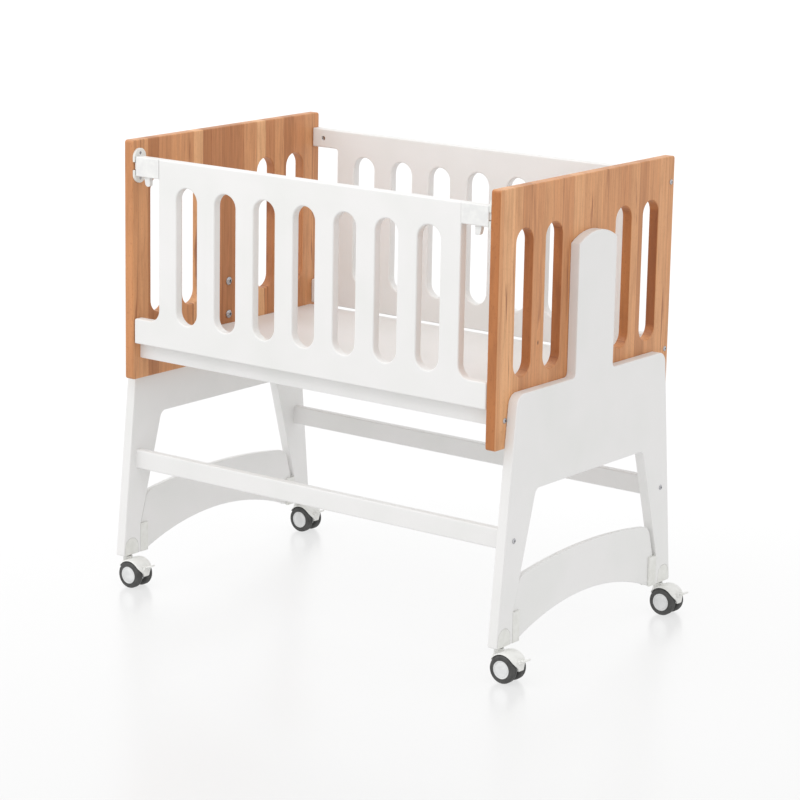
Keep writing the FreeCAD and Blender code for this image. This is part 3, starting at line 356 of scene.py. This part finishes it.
    # painted shade: faces that look to the front or back are multiplied by the edge colour, standing in for
    # the shade that falls on them
    facing = node(tree, "ShaderNodeSeparateXYZ", {0: node(tree, "ShaderNodeTexCoord").outputs["Normal"]})
    sideways = node(tree, "ShaderNodeMath", {0: facing.outputs["Y"]}, operation="ABSOLUTE")
    edge_shade_amount = node(tree, "ShaderNodeMapRange", {0: sideways.outputs[0], 1: 0.45, 2: 0.85, 3: 0.0, 4: edge})
    colour = node(tree, "ShaderNodeMix", {0: edge_shade_amount.outputs[0], 6: colour.outputs[2],
                                          7: linear(colours.painted_edge_shade)},
                  data_type="RGBA", blend_type="MULTIPLY")
    tree.links.new(colour.outputs[2], shader.inputs["Base Color"])
    sheen = node(tree, "ShaderNodeMapRange", {0: lines.outputs[0], 1: 0.3, 2: 0.7, 3: 0.52, 4: 0.42})
    tree.links.new(sheen.outputs[0], shader.inputs["Roughness"])
    relief = node(tree, "ShaderNodeBump", {"Height": lines.outputs[0], "Strength": 0.25,
                                           "Distance": 0.15 * MM})
    tree.links.new(relief.outputs[0], shader.inputs["Normal"])
    finish_shader(shader, IOR=1.5, Coat_Weight=0.06, Coat_Roughness=0.35)
    return made


def satin_lacquer(name, colours):
    """Satin white lacquer sprayed on sanded board: a faint orange peel and slightly uneven sheen."""
    made, tree, shader, raw = blank(name)
    peel = node(tree, "ShaderNodeTexNoise", {"Vector": raw, "Scale": 1.0 / (2.6 * MM), "Detail": 1.5})
    pools = node(tree, "ShaderNodeTexNoise", {"Vector": raw, "Scale": 1.0 / (140.0 * MM), "Detail": 2.0})
    tint = node(tree, "ShaderNodeValToRGB", {0: pools.outputs[0]}, stops=[
        (0.3, linear(colours.lacquer_shade)), (0.6, linear(colours.lacquer))])
    sheen = node(tree, "ShaderNodeMapRange", {0: pools.outputs[0], 1: 0.3, 2: 0.7, 3: 0.36, 4: 0.46})
    relief = node(tree, "ShaderNodeBump", {"Height": peel.outputs[0], "Strength": 0.12,
                                           "Distance": 0.12 * MM})
    tree.links.new(tint.outputs[0], shader.inputs["Base Color"])
    tree.links.new(sheen.outputs[0], shader.inputs["Roughness"])
    tree.links.new(relief.outputs[0], shader.inputs["Normal"])
    finish_shader(shader, IOR=1.49)
    return made


def moulded_plastic(name, light, shade, grit, roughness, depth=0.05):
    """Injection-moulded plastic with a spark-eroded texture: fine even grit and soft highlights."""
    made, tree, shader, raw = blank(name)
    speck = node(tree, "ShaderNodeTexNoise", {"Vector": raw, "Scale": 1.0 / grit, "Detail": 2.0})
    cloud = node(tree, "ShaderNodeTexNoise", {"Vector": raw, "Scale": 1.0 / (14.0 * MM), "Detail": 2.0})
    tint = node(tree, "ShaderNodeValToRGB", {0: cloud.outputs[0]}, stops=[
        (0.35, linear(shade)), (0.65, linear(light))])
    rough = node(tree, "ShaderNodeMapRange", {0: speck.outputs[0], 1: 0.3, 2: 0.7,
                                              3: roughness - 0.06, 4: roughness + 0.06})
    relief = node(tree, "ShaderNodeBump", {"Height": speck.outputs[0], "Strength": 0.35,
                                           "Distance": depth * MM})
    tree.links.new(tint.outputs[0], shader.inputs["Base Color"])
    tree.links.new(rough.outputs[0], shader.inputs["Roughness"])
    tree.links.new(relief.outputs[0], shader.inputs["Normal"])
    finish_shader(shader, IOR=1.5)
    return made


def plated_steel(name, light, shade, scratch, roughness):
    """Zinc-plated steel: bright, slightly blotched metal with fine drawing marks."""
    made, tree, shader, raw = blank(name)
    marks = node(tree, "ShaderNodeTexNoise", {"Vector": raw, "Scale": 1.0 / scratch, "Detail": 3.0})
    blotch = node(tree, "ShaderNodeTexNoise", {"Vector": raw, "Scale": 1.0 / (3.0 * MM), "Detail": 2.0})
    tint = node(tree, "ShaderNodeValToRGB", {0: blotch.outputs[0]}, stops=[
        (0.35, linear(shade)), (0.65, linear(light))])
    rough = node(tree, "ShaderNodeMapRange", {0: blotch.outputs[0], 1: 0.3, 2: 0.7,
                                              3: roughness - 0.07, 4: roughness + 0.07})
    relief = node(tree, "ShaderNodeBump", {"Height": marks.outputs[0], "Strength": 0.2,
                                           "Distance": 0.02 * MM})
    tree.links.new(tint.outputs[0], shader.inputs["Base Color"])
    tree.links.new(rough.outputs[0], shader.inputs["Roughness"])
    tree.links.new(relief.outputs[0], shader.inputs["Normal"])
    finish_shader(shader, Metallic=1.0)
    return made


def paint(thing, material):
    """Give an object one material in place of those it has."""
    thing.data.materials.clear()
    thing.data.materials.append(material)


# ---------------------------------------------------------------- sizes and colours
class CribSizes(bpy.types.PropertyGroup):
    stave_width: FloatProperty(name="Stave width", description="Mean width of the glued beech staves",
                               default=0.034, unit="LENGTH")
    grain_width: FloatProperty(name="Grain width", description="Spacing of the beech grain, drawn coarse",
                               default=0.0032, unit="LENGTH")
    knot_spacing: FloatProperty(name="Knot spacing", description="Distance between knots in the beech",
                                default=0.20, unit="LENGTH")
    knot_size: FloatProperty(name="Knot size", description="Radius of the largest knots",
                             default=0.007, unit="LENGTH")
    plastic_grit: FloatProperty(name="Plastic grit", description="Pitch of the moulded texture",
                                default=0.0007, unit="LENGTH")
    tread_grooves: IntProperty(name="Tread grooves", description="Grooves round each tyre's tread", default=2)


class CribColours(bpy.types.PropertyGroup):
    beech_pale: StringProperty(name="Pale beech", description="sRGB hex of the palest staves",
                               default="ECB988")
    beech_light: StringProperty(name="Light beech", description="sRGB hex of the light staves",
                                default="DBA271")
    beech_mid: StringProperty(name="Mid beech", description="sRGB hex of the middling staves",
                              default="CC8D5D")
    beech_dark: StringProperty(name="Dark beech", description="sRGB hex of the darkest staves",
                               default="A66A3D")
    beech_heart: StringProperty(name="Heart streaks", description="sRGB hex of the dark heartwood streaks",
                                default="8A4B26")
    beech_even: StringProperty(name="Even beech", description="sRGB hex that like staves draw together to",
                               default="D49868")
    # painted shade: this colour darkens the front- and back-facing edges of the beech, standing in for shade
    # on those faces
    painted_edge_shade: StringProperty(name="Edge tint", description="sRGB hex that darkens the oil-soaked edges",
                              default="D5BA95")
    beech_knot: StringProperty(name="Knots", description="sRGB hex of the knots", default="5A3019")
    lacquer: StringProperty(name="Lacquer", description="sRGB hex of the white lacquer", default="E8E7E6")
    lacquer_shade: StringProperty(name="Lacquer shade", description="sRGB hex where the lacquer is thinner",
                                  default="E4E4E2")
    latch: StringProperty(name="Latch plastic", description="sRGB hex of the latch housings",
                          default="E9E9E7")
    fitting: StringProperty(name="Fitting plastic", description="sRGB hex of sockets and brackets",
                            default="E6E6E2")
    caster: StringProperty(name="Caster plastic", description="sRGB hex of hoods and levers",
                           default="E8E8E5")
    caster_shade: StringProperty(name="Caster shade", description="sRGB hex of the hoods' cloudier parts",
                                 default="E2E2DF")
    hub: StringProperty(name="Hub plastic", description="sRGB hex of the wheel centres", default="E4E5E5")
    hub_shade: StringProperty(name="Hub shade", description="sRGB hex of the centres' cloudier parts",
                              default="D8D9D9")
    tyre: StringProperty(name="Tyre", description="sRGB hex of the tyres", default="4A4A49")
    tyre_shade: StringProperty(name="Tyre shade", description="sRGB hex of the tyres' darker parts",
                               default="3C3C3B")
    zinc: StringProperty(name="Zinc", description="sRGB hex of the plated steel", default="C4C4C6")


class CribStage(bpy.types.PropertyGroup):
    floor: StringProperty(name="Floor", description="sRGB hex of the floor's own colour",
                          default="626262")
    glow: FloatProperty(name="Floor glow", description="Light the floor gives of itself", default=0.70)
    world: FloatProperty(name="Surround", description="Strength of the white surround", default=1.0)
    key: FloatProperty(name="Key light", description="Power of the large soft light overhead", default=30.0,
                       unit="POWER")
    side: FloatProperty(name="Side light", description="Power of the soft light at the side", default=6.0,
                        unit="POWER")
    lens: FloatProperty(name="Lens", description="Focal length of the camera in millimetres", default=130.0)
    eye: FloatVectorProperty(name="Eye", description="The camera's place", unit="LENGTH",
                             default=(3.5227, -4.6590, 1.2822))
    bearing: FloatProperty(name="Bearing", description="Degrees the camera is turned to the left of +Y",
                           default=36.960)
    tilt: FloatProperty(name="Tilt", description="Degrees the camera looks down", default=13.314)
    roll: FloatProperty(name="Roll", description="Degrees the camera leans", default=1.063)


# ---------------------------------------------------------------- operators
class CRIB_OT_beech_ends(bpy.types.Operator):
    """Give the two wooden ends their oiled beech"""
    bl_idname = "crib.beech_ends"
    bl_label = "Beech ends"

    def execute(self, context):
        sizes, colours = context.scene.crib_sizes, context.scene.crib_colours
        # edge sets how strongly each panel's front and back faces are darkened as painted shade
        for end, shift, contrast, edge in (("left", 1.37, 1.0, 0.4), ("right", 2.91, 0.55, 1.0)):
            beech = oiled_beech("oiled_beech_" + end, sizes, colours, shift, contrast, edge)
            paint(frame["nodes"][end + "_end_panel"], beech)
        return {"FINISHED"}


class CRIB_OT_lacquered_parts(bpy.types.Operator):
    """Give the legs, rails, arches and bed base their white lacquer"""
    bl_idname = "crib.lacquered_parts"
    bl_label = "Lacquered parts"

    def execute(self, context):
        lacquer = satin_lacquer("satin_white_lacquer", context.scene.crib_colours)
        for name in LACQUERED:
            paint(frame["nodes"][name], lacquer)
        return {"FINISHED"}


class CRIB_OT_plastic_fittings(bpy.types.Operator):
    """Give the latches, keepers, brackets and caster sockets their moulded plastics"""
    bl_idname = "crib.plastic_fittings"
    bl_label = "Plastic fittings"

    def execute(self, context):
        sizes, colours = context.scene.crib_sizes, context.scene.crib_colours
        latch = moulded_plastic("moulded_abs_latch", colours.latch, LATCH_SHADE, sizes.plastic_grit, 0.42)
        fitting = moulded_plastic("moulded_nylon_fitting", colours.fitting, FITTING_SHADE,
                                  sizes.plastic_grit, 0.40)
        for end in ("left", "right"):
            paint(frame["nodes"][end + "_latch_housing"], latch)
            paint(frame["nodes"][end + "_latch_bolt"], latch)
        for name in ("latch_keepers", "rocker_brackets", "caster_sockets"):
            paint(frame["nodes"][name], fitting)
        return {"FINISHED"}


def hexagon_socket(rows_in_socket):
    """Factor that makes the last rows of a profile a hexagon: 1 / cos of the angle from a flat's middle."""
    def shape(t, rows):
        flat = np.abs(np.mod(t + math.pi / 6.0, math.pi / 3.0) - math.pi / 6.0)
        factor = np.ones((rows, len(t)))
        factor[-rows_in_socket:] = (math.cos(math.pi / 6.0) / np.cos(flat))[None] * 1.07
        return factor
    return shape


def cross_recess(rows_in_recess):
    """Factor that makes the last rows of a profile a cross: wide on four sides, narrow between."""
    def shape(t, rows):
        factor = np.ones((rows, len(t)))
        factor[-rows_in_recess:] = (0.42 + 0.58 * np.abs(np.cos(2.0 * t)) ** 1.5)[None]
        return factor
    return shape


def bolt_loops(head_radius, head_height, shank_radius, length, key):
    """A domed bolt turned from its shank's end to the floor of its hexagon socket; the head sits on z = 0."""
    body = rounded([(0.0, -length, 0), (shank_radius, -length, shank_radius * 0.4),
                    (shank_radius, 0.0, 0), (head_radius, 0.0, head_height * 0.12),
                    (head_radius, head_height * 0.35, head_height * 0.3),
                    (key * 1.45, head_height, head_height * 0.5), (key * 1.08, head_height, 0)])
    socket = np.array([(key * 1.02, head_height * 0.93), (key * 0.96, head_height * 0.2),
                       (0.0, head_height * 0.2)])
    profile = np.concatenate([body, socket])
    return turned(profile, 48, hexagon_socket(3))


def screw_loops(head_radius, shank_radius, length):
    """A countersunk screw turned from its point to the floor of its cross recess; its face is at z = 0."""
    sink = head_radius - shank_radius
    body = rounded([(0.0, -length, 0), (shank_radius, -length + 4.0 * shank_radius, 0),
                    (shank_radius, -sink, 0), (head_radius, 0.0, sink * 0.12),
                    (head_radius * 0.62, 0.0, 0)])
    recess = np.array([(head_radius * 0.60, -sink * 0.04), (head_radius * 0.42, -sink * 0.75),
                       (0.0, -sink * 0.8)])
    return turned(np.concatenate([body, recess]), 48, cross_recess(3))


class CRIB_OT_fasteners(bpy.types.Operator):
    """Make the bolt and screw heads, and plate every metal part"""
    bl_idname = "crib.fasteners"
    bl_label = "Fasteners"

    def execute(self, context):
        colours = context.scene.crib_colours
        zinc = plated_steel("zinc_plated_steel", colours.zinc, ZINC_SHADE, 0.4 * MM, 0.30)
        wire = plated_steel("drawn_spring_wire", WIRE, WIRE_SHADE, 0.3 * MM, 0.34)
        # a duller, darker steel; the darkening is partly painted shade standing in for the shadow in the gap
        # between the foot and the hood
        steel_darkened_as_shade = plated_steel("plated_steel_darkened_as_shade", AXLE_PAINTED_SHADE_GREY, AXLE_PAINTED_SHADE_CLOUD, 0.4 * MM, 0.42)
        for name, key in (("panel_bolts", SMALL_KEY), ("stretcher_bolts", SMALL_KEY),
                          ("leg_frame_bolts", LARGE_KEY)):
            paint(self.bolts(name, key), zinc)
        for name, body in (("wood_screws", "crib"), ("latch_housing_screws", "front_rail")):
            paint(self.screws(name, body), zinc)
        for name in ("barrel_nuts", "threaded_inserts", "rail_hinge_pins"):
            paint(frame["nodes"][name], zinc)
        for name in ("left_latch_spring", "right_latch_spring"):
            paint(frame["nodes"][name], wire)
        # stems and axles get the darkened steel, partly painted shade for the shadowed gap under the foot
        for name in ["caster_stems"] + [corner + "_axle" for corner in CORNERS]:
            paint(frame["nodes"][name], steel_darkened_as_shade)
        return {"FINISHED"}

    def bolts(self, name, key):
        """Bolts along X in the places of a CAD node's solids; each head is at the end that is wider."""
        inward = name == "leg_frame_bolts"
        shells = Shells()
        for low, high in solids_of(name):
            size, middle = high - low, (low + high) / 2.0
            outward = math.copysign(1.0, middle[0]) * (-1.0 if inward else 1.0)
            head_height = LEG_BOLT_HEAD if inward else BOLT_HEAD
            shank = (LEG_BOLT_SHANK if inward else BOLT_SHANK) / 2.0
            end = high[0] if outward > 0 else low[0]
            seat = (end - outward * head_height, middle[1], middle[2])
            loops = bolt_loops(size[1] / 2.0, head_height, shank, size[0] - head_height, key)
            shells.add(placed(loops, seat, (outward, 0.0, 0.0)))
        made = shells.object(name + "_heads")
        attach(made, "crib")
        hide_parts(name)
        return made

    def screws(self, name, body):
        """Screws in the places of a CAD node's solids, each along that solid's longest side.

        They point outwards in the ends and feet, and forwards in the latch housings.
        """
        shells = Shells()
        for low, high in solids_of(name):
            size, middle = high - low, (low + high) / 2.0
            along = int(np.argmax(size))
            points = -1.0 if name == "latch_housing_screws" else math.copysign(1.0, middle[along])
            face = middle.copy()
            face[along] = low[along] if points > 0 else high[along]
            axis = np.zeros(3)
            axis[along] = -points
            loops = screw_loops(SCREW_HEAD_RADIUS, SCREW_SHANK_RADIUS, size[along])
            shells.add(placed(loops, face, axis))
        made = shells.object(name + "_detailed")
        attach(made, body)
        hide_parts(name)
        return made


def hood_loops(radius, room, half_width, plan, start, end, rows=48, columns=44):
    """The hood's shell over the wheels, as loops along an arc about the axle; plan is (x, radius).

    A section is closed: along its outside r = room + (radius - room) (1 - |w|^3)^(1/2.4), with w from -1
    to 1 across the hood, and back along r = room. Its half width is the smooth lesser, of power -8, of
    half_width and the chord sqrt(radius^2 - (x - centre)^2) of the plan's circle. Both ends round off
    as quarter circles.
    """
    w = np.linspace(-1.0, 1.0, columns // 2)
    w = np.sign(w) * (1.0 - (1.0 - np.abs(w)) ** 1.5)
    across = np.concatenate([w, w[::-1] * 0.999])
    outside = (1.0 - np.abs(w) ** 3.0) ** (1.0 / 2.4)
    rise = np.concatenate([outside, np.zeros_like(outside)])
    t = np.linspace(0.0, 1.0, rows)
    angle = start + (end - start) * t
    ends = np.minimum(np.minimum(t, 1.0 - t) / 0.05, 1.0)
    fade = np.maximum(np.sqrt(np.clip(1.0 - (1.0 - ends) ** 2, 0.0, 1.0)), 0.02)
    centre, plan_radius = plan
    chord = np.sqrt(np.maximum(plan_radius ** 2 - (radius * np.cos(angle) - centre) ** 2, 1e-8))
    half = (half_width ** -8.0 + chord ** -8.0) ** -0.125
    depth = room + (radius - room) * (rise[None] * fade[:, None])
    y = half[:, None] * across[None] * (0.8 + 0.2 * fade[:, None])
    return np.stack([depth * np.cos(angle)[:, None], y, depth * np.sin(angle)[:, None]], -1)


class CRIB_OT_casters(bpy.types.Operator):
    """Make the four twin-wheel casters: hoods, tyres, wheel centres and brake levers"""
    bl_idname = "crib.casters"
    bl_label = "Casters"

    def execute(self, context):
        sizes, colours = context.scene.crib_sizes, context.scene.crib_colours
        self.nylon = moulded_plastic("moulded_nylon_caster", colours.caster, colours.caster_shade,
                                     sizes.plastic_grit, 0.36)
        self.hub_plastic = moulded_plastic("moulded_polypropylene_hub", colours.hub, colours.hub_shade,
                                           sizes.plastic_grit, 0.40)
        self.rubber = moulded_plastic("soft_tread_rubber", colours.tyre, colours.tyre_shade, 0.9 * MM, 0.55,
                                      0.12)
        for corner in CORNERS:
            self.wheels(corner, sizes.tread_grooves)
            self.hood(corner)
            self.lever(corner)
        return {"FINISHED"}

    def place(self, joint):
        """Where a joint's axis stands."""
        return np.array(JOINTS[joint]["pos_m"])

    def wheels(self, corner, grooves):
        """A tyre and a dished centre for each wheel, turned about the axle."""
        for side in ("outer", "inner"):
            low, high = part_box(corner + "_" + side + "_tyre")
            hub_low, hub_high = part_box(corner + "_" + side + "_hub")
            axle = self.place(corner + "_" + side + "_roll")
            outwards = math.copysign(1.0, (low.y + high.y) / 2.0 - axle[1])
            radius, width, bore = (high.z - low.z) / 2.0, high.y - low.y, (hub_high.z - hub_low.z) / 2.0
            start = (axle[0], low.y if outwards > 0 else high.y, axle[2])
            axis = (0.0, outwards, 0.0)
            tyre, hub = Shells(), Shells()
            tyre.add(placed(turned(self.tyre_profile(radius, width, bore, grooves), 96), start, axis))
            made = tyre.object(corner + "_" + side + "_tread", 50.0)
            self.settle(made, self.rubber, corner + "_" + side + "_wheel", corner + "_" + side + "_tyre",
                        "tyre_rubber")
            hub.add(placed(turned(self.hub_profile(bore, width), 72), start, axis))
            made = hub.object(corner + "_" + side + "_centre", 35.0)
            self.settle(made, self.hub_plastic, corner + "_" + side + "_wheel",
                        corner + "_" + side + "_hub", "hub_plastic")

    def tyre_profile(self, radius, width, bore, grooves):
        """A closed ring section: bore, a raised bead, round shoulders and a tread with shallow grooves."""
        shoulder, groove, bead = 5.0 * MM, 0.5 * MM, 1.6 * MM
        corners = [(bore, 0.6 * MM, 0), (bore + 0.8 * MM, 0.0, 0.3 * MM), (radius, 0.0, shoulder)]
        pitch = (width - 2.0 * shoulder) / (grooves + 1)
        for k in range(grooves):
            at = shoulder + pitch * (k + 1)
            corners += [(radius, at - 0.6 * MM, 0.15 * MM), (radius - groove, at - 0.35 * MM, 0.1 * MM),
                        (radius - groove, at + 0.35 * MM, 0.1 * MM), (radius, at + 0.6 * MM, 0.15 * MM)]
        corners += [(radius, width, shoulder), (bore + bead + 1.0 * MM, width - 0.5 * MM, 0.6 * MM),
                    (bore + bead, width, 0.4 * MM), (bore + 0.5 * MM, width, 0.3 * MM),
                    (bore, width - 0.8 * MM, 0)]
        ring = rounded(corners, 6)
        return np.concatenate([ring, ring[:1]])

    def hub_profile(self, radius, width):
        """From the bore's mouth round the back and rim to the domed cap's pole."""
        bore, face = 3.05 * MM, width
        return rounded([
            (0.0, width - 3.6 * MM, 0), (bore, width - 3.6 * MM, 0), (bore, 0.0, 0.2 * MM),
            (radius * 0.45, 0.0, 0.5 * MM), (radius * 0.52, 1.6 * MM, 0.5 * MM),
            (radius * 0.82, 1.6 * MM, 0.5 * MM), (radius * 0.88, 0.0, 0.4 * MM), (radius, 0.0, 0.4 * MM),
            (radius, face, 0.6 * MM), (radius - 1.9 * MM, face, 0.5 * MM),
            (radius - 2.4 * MM, face - 0.9 * MM, 0.3 * MM), (radius - 3.1 * MM, face - 0.9 * MM, 0.3 * MM),
            (radius - 4.0 * MM, face - 0.1 * MM, 1.6 * MM), (radius * 0.35, face + 0.55 * MM, 8.0 * MM),
            (0.0, face + 0.6 * MM, 0)], 5)

    def hood(self, corner):
        """The hood's shell, the web between the wheels and the tower that the stem turns in."""
        low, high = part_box(corner + "_hood")
        tyre_low, tyre_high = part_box(corner + "_outer_tyre")
        axle, swivel = self.place(corner + "_outer_roll"), self.place(corner + "_swivel")
        brake = self.place(corner + "_brake")
        wheel, half = (tyre_high.z - tyre_low.z) / 2.0, (high.y - low.y) / 2.0
        room, radius = wheel + HOOD_ROOM, wheel + HOOD_REACH
        plan = (HOOD_PLAN_SHIFT, radius + HOOD_PLAN_EXTRA)
        start, end = math.radians(HOOD_START), math.radians(HOOD_END)
        shells = Shells()
        shells.add(hood_loops(radius, room, half - HOOD_SET_IN, plan, start, end) + axle)
        top = high.z - swivel[2]
        foot, hole = top - TOWER_DEPTH, top - STEM_HOLE_DEPTH
        tower = rounded([(0.0, foot, 0), (13.5 * MM, foot, 0), (10.6 * MM, top - 11.0 * MM, 8.0 * MM),
                         (9.8 * MM, top, 1.6 * MM), (STEM_HOLE_RADIUS, top, 0.4 * MM),
                         (STEM_HOLE_RADIUS, hole, 0), (0.0, hole, 0)])
        shells.add(turned(tower, 48) + swivel)
        web = rounded([(0.0, -6.0 * MM, 0), (room + 0.8 * MM, -6.0 * MM, 1.0 * MM),
                       (room + 0.8 * MM, 6.0 * MM, 1.0 * MM), (0.0, 6.0 * MM, 0)])
        shells.add(self.fan(web, np.radians(np.linspace(-2.0, 153.0, 40)), axle))
        ear = rounded([(0.0, -EAR_HALF, 0), (EAR_RADIUS, -EAR_HALF, 0.6 * MM),
                       (EAR_RADIUS, EAR_HALF, 0.6 * MM), (0.0, EAR_HALF, 0)])
        for side in (-1.0, 1.0):
            shells.add(placed(turned(ear, 32), brake + (0.0, side * EAR_PLACE, 0.0), (0.0, 1.0, 0.0)))
        made = shells.object(corner + "_hood_shell", 38.0)
        self.settle(made, self.nylon, corner + "_caster", corner + "_hood", "caster_plastic")

    def fan(self, section, angles, centre):
        """A plate's rounded section of (radius, y) swept over an arc about the axle, closed by its chord."""
        radius, y = section[:, 0], section[:, 1]
        loops = np.stack([radius[None] * np.cos(angles)[:, None],
                          np.broadcast_to(y[None], (len(angles), len(y))),
                          radius[None] * np.sin(angles)[:, None]], -1)
        return loops + centre

    def lever(self, corner):
        """The foot lever: a barrel on the hood's ears and a dished, ribbed pedal that slopes up behind."""
        pivot = self.place(corner + "_brake")
        shells = Shells()
        for radius, half, edge in ((4.0 * MM, 6.0 * MM, 0.7 * MM), (2.0 * MM, 9.0 * MM, 0.3 * MM)):
            bar = rounded([(0.0, -half, 0), (radius, -half, edge), (radius, half, edge), (0.0, half, 0)])
            shells.add(placed(turned(bar, 36), pivot, (0.0, 1.0, 0.0)))
        shells.add(self.pedal(pivot))
        made = shells.object(corner + "_brake_pedal", 38.0)
        self.settle(made, self.nylon, corner + "_brake", corner + "_brake_lever", "caster_plastic")

    def pedal(self, pivot, rows=36, columns=40):
        """Loops along the pedal, from its neck to its tip, turned up by PEDAL_LIFT about the pivot.

        The half width grows from 5.4 to 9.5 mm by the smooth step s^2 (3 - 2 s) and closes in an oval tip,
        sqrt(1 - t^2.6). The section is 3.8 mm thick; its top dips in the middle and carries low ribs.
        """
        t = np.linspace(0.0, 1.0, rows)
        x = 1.5 * MM + 19.4 * MM * t
        step = np.clip((x - 5.0 * MM) / (4.0 * MM), 0.0, 1.0)
        half = (5.4 + 4.1 * step * step * (3.0 - 2.0 * step)) * MM
        tip = np.clip((x - 13.0 * MM) / (7.9 * MM), 0.0, 1.0)
        half = half * np.sqrt(np.clip(1.0 - tip ** 2.6, 0.0, 1.0))
        a = np.linspace(0.0, 2.0 * math.pi, columns, endpoint=False)
        y = np.sign(np.cos(a)) * np.abs(np.cos(a)) ** 0.5
        z = np.sign(np.sin(a)) * np.abs(np.sin(a)) ** 0.55
        thick = 1.9 * MM * np.sqrt(np.clip(1.0 - tip ** 5.0, 0.0, 1.0))
        rib = 0.25 * MM * np.clip(np.cos((x - 12.0 * MM) / (3.0 * MM) * 2.0 * math.pi), 0.0, 1.0)
        rib = rib * ((x > 9.5 * MM) & (x < 18.0 * MM))
        up = z[None] * thick[:, None] + rib[:, None] * np.clip(z[None], 0.0, 1.0)
        up = up - 0.5 * MM * step[:, None] * (1.0 - np.abs(y)[None] ** 2.0) * np.clip(z[None], 0.0, 1.0)
        loops = np.stack([np.broadcast_to(x[:, None], up.shape), half[:, None] * y[None], up], -1)
        lift = math.radians(PEDAL_LIFT)
        turn = np.array([[math.cos(lift), 0.0, -math.sin(lift)], [0.0, 1.0, 0.0],
                         [math.sin(lift), 0.0, math.cos(lift)]])
        return loops @ turn.T + pivot

    def settle(self, made, material, body, replaced, slot):
        paint(made, material)
        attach(made, body)
        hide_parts(replaced)


class CRIB_OT_stage(bpy.types.Operator):
    """Make the floor, the surround, the soft lights and the camera"""
    bl_idname = "crib.stage"
    bl_label = "Stage"

    def execute(self, context):
        stage = context.scene.crib_stage
        scene = context.scene
        scene.view_settings.view_transform = "Standard"
        self.floor(stage)
        world = bpy.data.worlds.new("white_surround")
        world.use_nodes = True
        background = world.node_tree.nodes["Background"].inputs
        background["Color"].default_value = (1.0, 1.0, 1.0, 1.0)
        background["Strength"].default_value = stage.world
        scene.world = world
        self.light("overhead_softbox", stage.key, OVERHEAD_SIZE, OVERHEAD_PLACE, OVERHEAD_TARGET)
        self.light("side_softbox", stage.side, SIDE_SIZE, SIDE_PLACE, SIDE_TARGET)
        self.camera(stage, scene)
        return {"FINISHED"}

    def floor(self, stage):
        """A flat square under the lowest point of the crib, z constant, that glows white of itself."""
        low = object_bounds()[0].z
        corners = FLOOR_HALF * np.array([(-1.0, -1.0), (1.0, -1.0), (1.0, 1.0), (-1.0, 1.0)])
        mesh = bpy.data.meshes.new("studio_floor")
        mesh.from_pydata(np.column_stack([corners, np.full(4, low)]).tolist(), [], [(0, 1, 2, 3)])
        made = bpy.data.objects.new("studio_floor", mesh)
        bpy.context.scene.collection.objects.link(made)
        acrylic, tree, shader, raw = blank("backlit_white_acrylic_floor")
        haze = node(tree, "ShaderNodeTexNoise", {"Vector": raw, "Scale": 1.5, "Detail": 1.0})
        rough = node(tree, "ShaderNodeMapRange", {0: haze.outputs[0], 1: 0.3, 2: 0.7, 3: 0.24, 4: 0.27})
        tree.links.new(rough.outputs[0], shader.inputs["Roughness"])
        finish_shader(shader, Base_Color=linear(stage.floor), IOR=1.4,
                      Emission_Color=(1.0, 1.0, 1.0, 1.0), Emission_Strength=stage.glow)
        paint(made, acrylic)
        made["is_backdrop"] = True

    def light(self, name, power, size, place, target):
        lamp = bpy.data.lights.new(name, "AREA")
        lamp.energy, lamp.size = power, size
        made = bpy.data.objects.new(name, lamp)
        made.location = place
        made.rotation_euler = (Vector(target) - Vector(place)).to_track_quat("-Z", "Y").to_euler()
        bpy.context.scene.collection.objects.link(made)

    def camera(self, stage, scene):
        """Stand at the eye and look along the bearing and tilt, leaning by the roll."""
        yaw, pitch, roll = (math.radians(v) for v in (stage.bearing, stage.tilt, stage.roll))
        ahead = Vector((-math.sin(yaw) * math.cos(pitch), math.cos(yaw) * math.cos(pitch), -math.sin(pitch)))
        level = Vector((math.cos(yaw), math.sin(yaw), 0.0))
        above = level.cross(ahead)
        right = level * math.cos(roll) + above * math.sin(roll)
        up = above * math.cos(roll) - level * math.sin(roll)
        lens = bpy.data.cameras.new("camera")
        lens.lens, lens.sensor_width = stage.lens, SENSOR
        lens.clip_start, lens.clip_end = 0.1, 100.0
        made = bpy.data.objects.new("camera", lens)
        made.matrix_world = Matrix.Translation(Vector(stage.eye)) @ Matrix(
            (right, up, -ahead)).transposed().to_4x4()
        scene.collection.objects.link(made)
        scene.camera = made


class CRIB_PT_panel(bpy.types.Panel):
    """Lists the crib's pieces in the sidebar"""
    bl_idname = "CRIB_PT_panel"
    bl_label = "Bedside crib"
    bl_space_type = "VIEW_3D"
    bl_region_type = "UI"
    bl_category = "Crib"

    def draw(self, context):
        for made in OPERATORS:
            self.layout.operator(made.bl_idname)
        for group in ("crib_sizes", "crib_colours", "crib_stage"):
            settings = getattr(context.scene, group)
            box = self.layout.box()
            for name in settings.__annotations__:
                box.prop(settings, name)


GROUPS = {"crib_sizes": CribSizes, "crib_colours": CribColours, "crib_stage": CribStage}
OPERATORS = [
    CRIB_OT_beech_ends, CRIB_OT_lacquered_parts, CRIB_OT_plastic_fittings, CRIB_OT_fasteners,
    CRIB_OT_casters, CRIB_OT_stage,
]


def register():
    for made in [*GROUPS.values(), *OPERATORS, CRIB_PT_panel]:
        bpy.utils.register_class(made)
    for name, made in GROUPS.items():
        setattr(bpy.types.Scene, name, PointerProperty(type=made))


def unregister():
    for name in GROUPS:
        delattr(bpy.types.Scene, name)
    for made in [CRIB_PT_panel, *OPERATORS, *GROUPS.values()]:
        bpy.utils.unregister_class(made)


def main():
    register()
    for made in OPERATORS:
        group, name = made.bl_idname.split(".")
        getattr(getattr(bpy.ops, group), name)()
    bpy.context.view_layer.update()


if __name__ == "__main__":
    main()
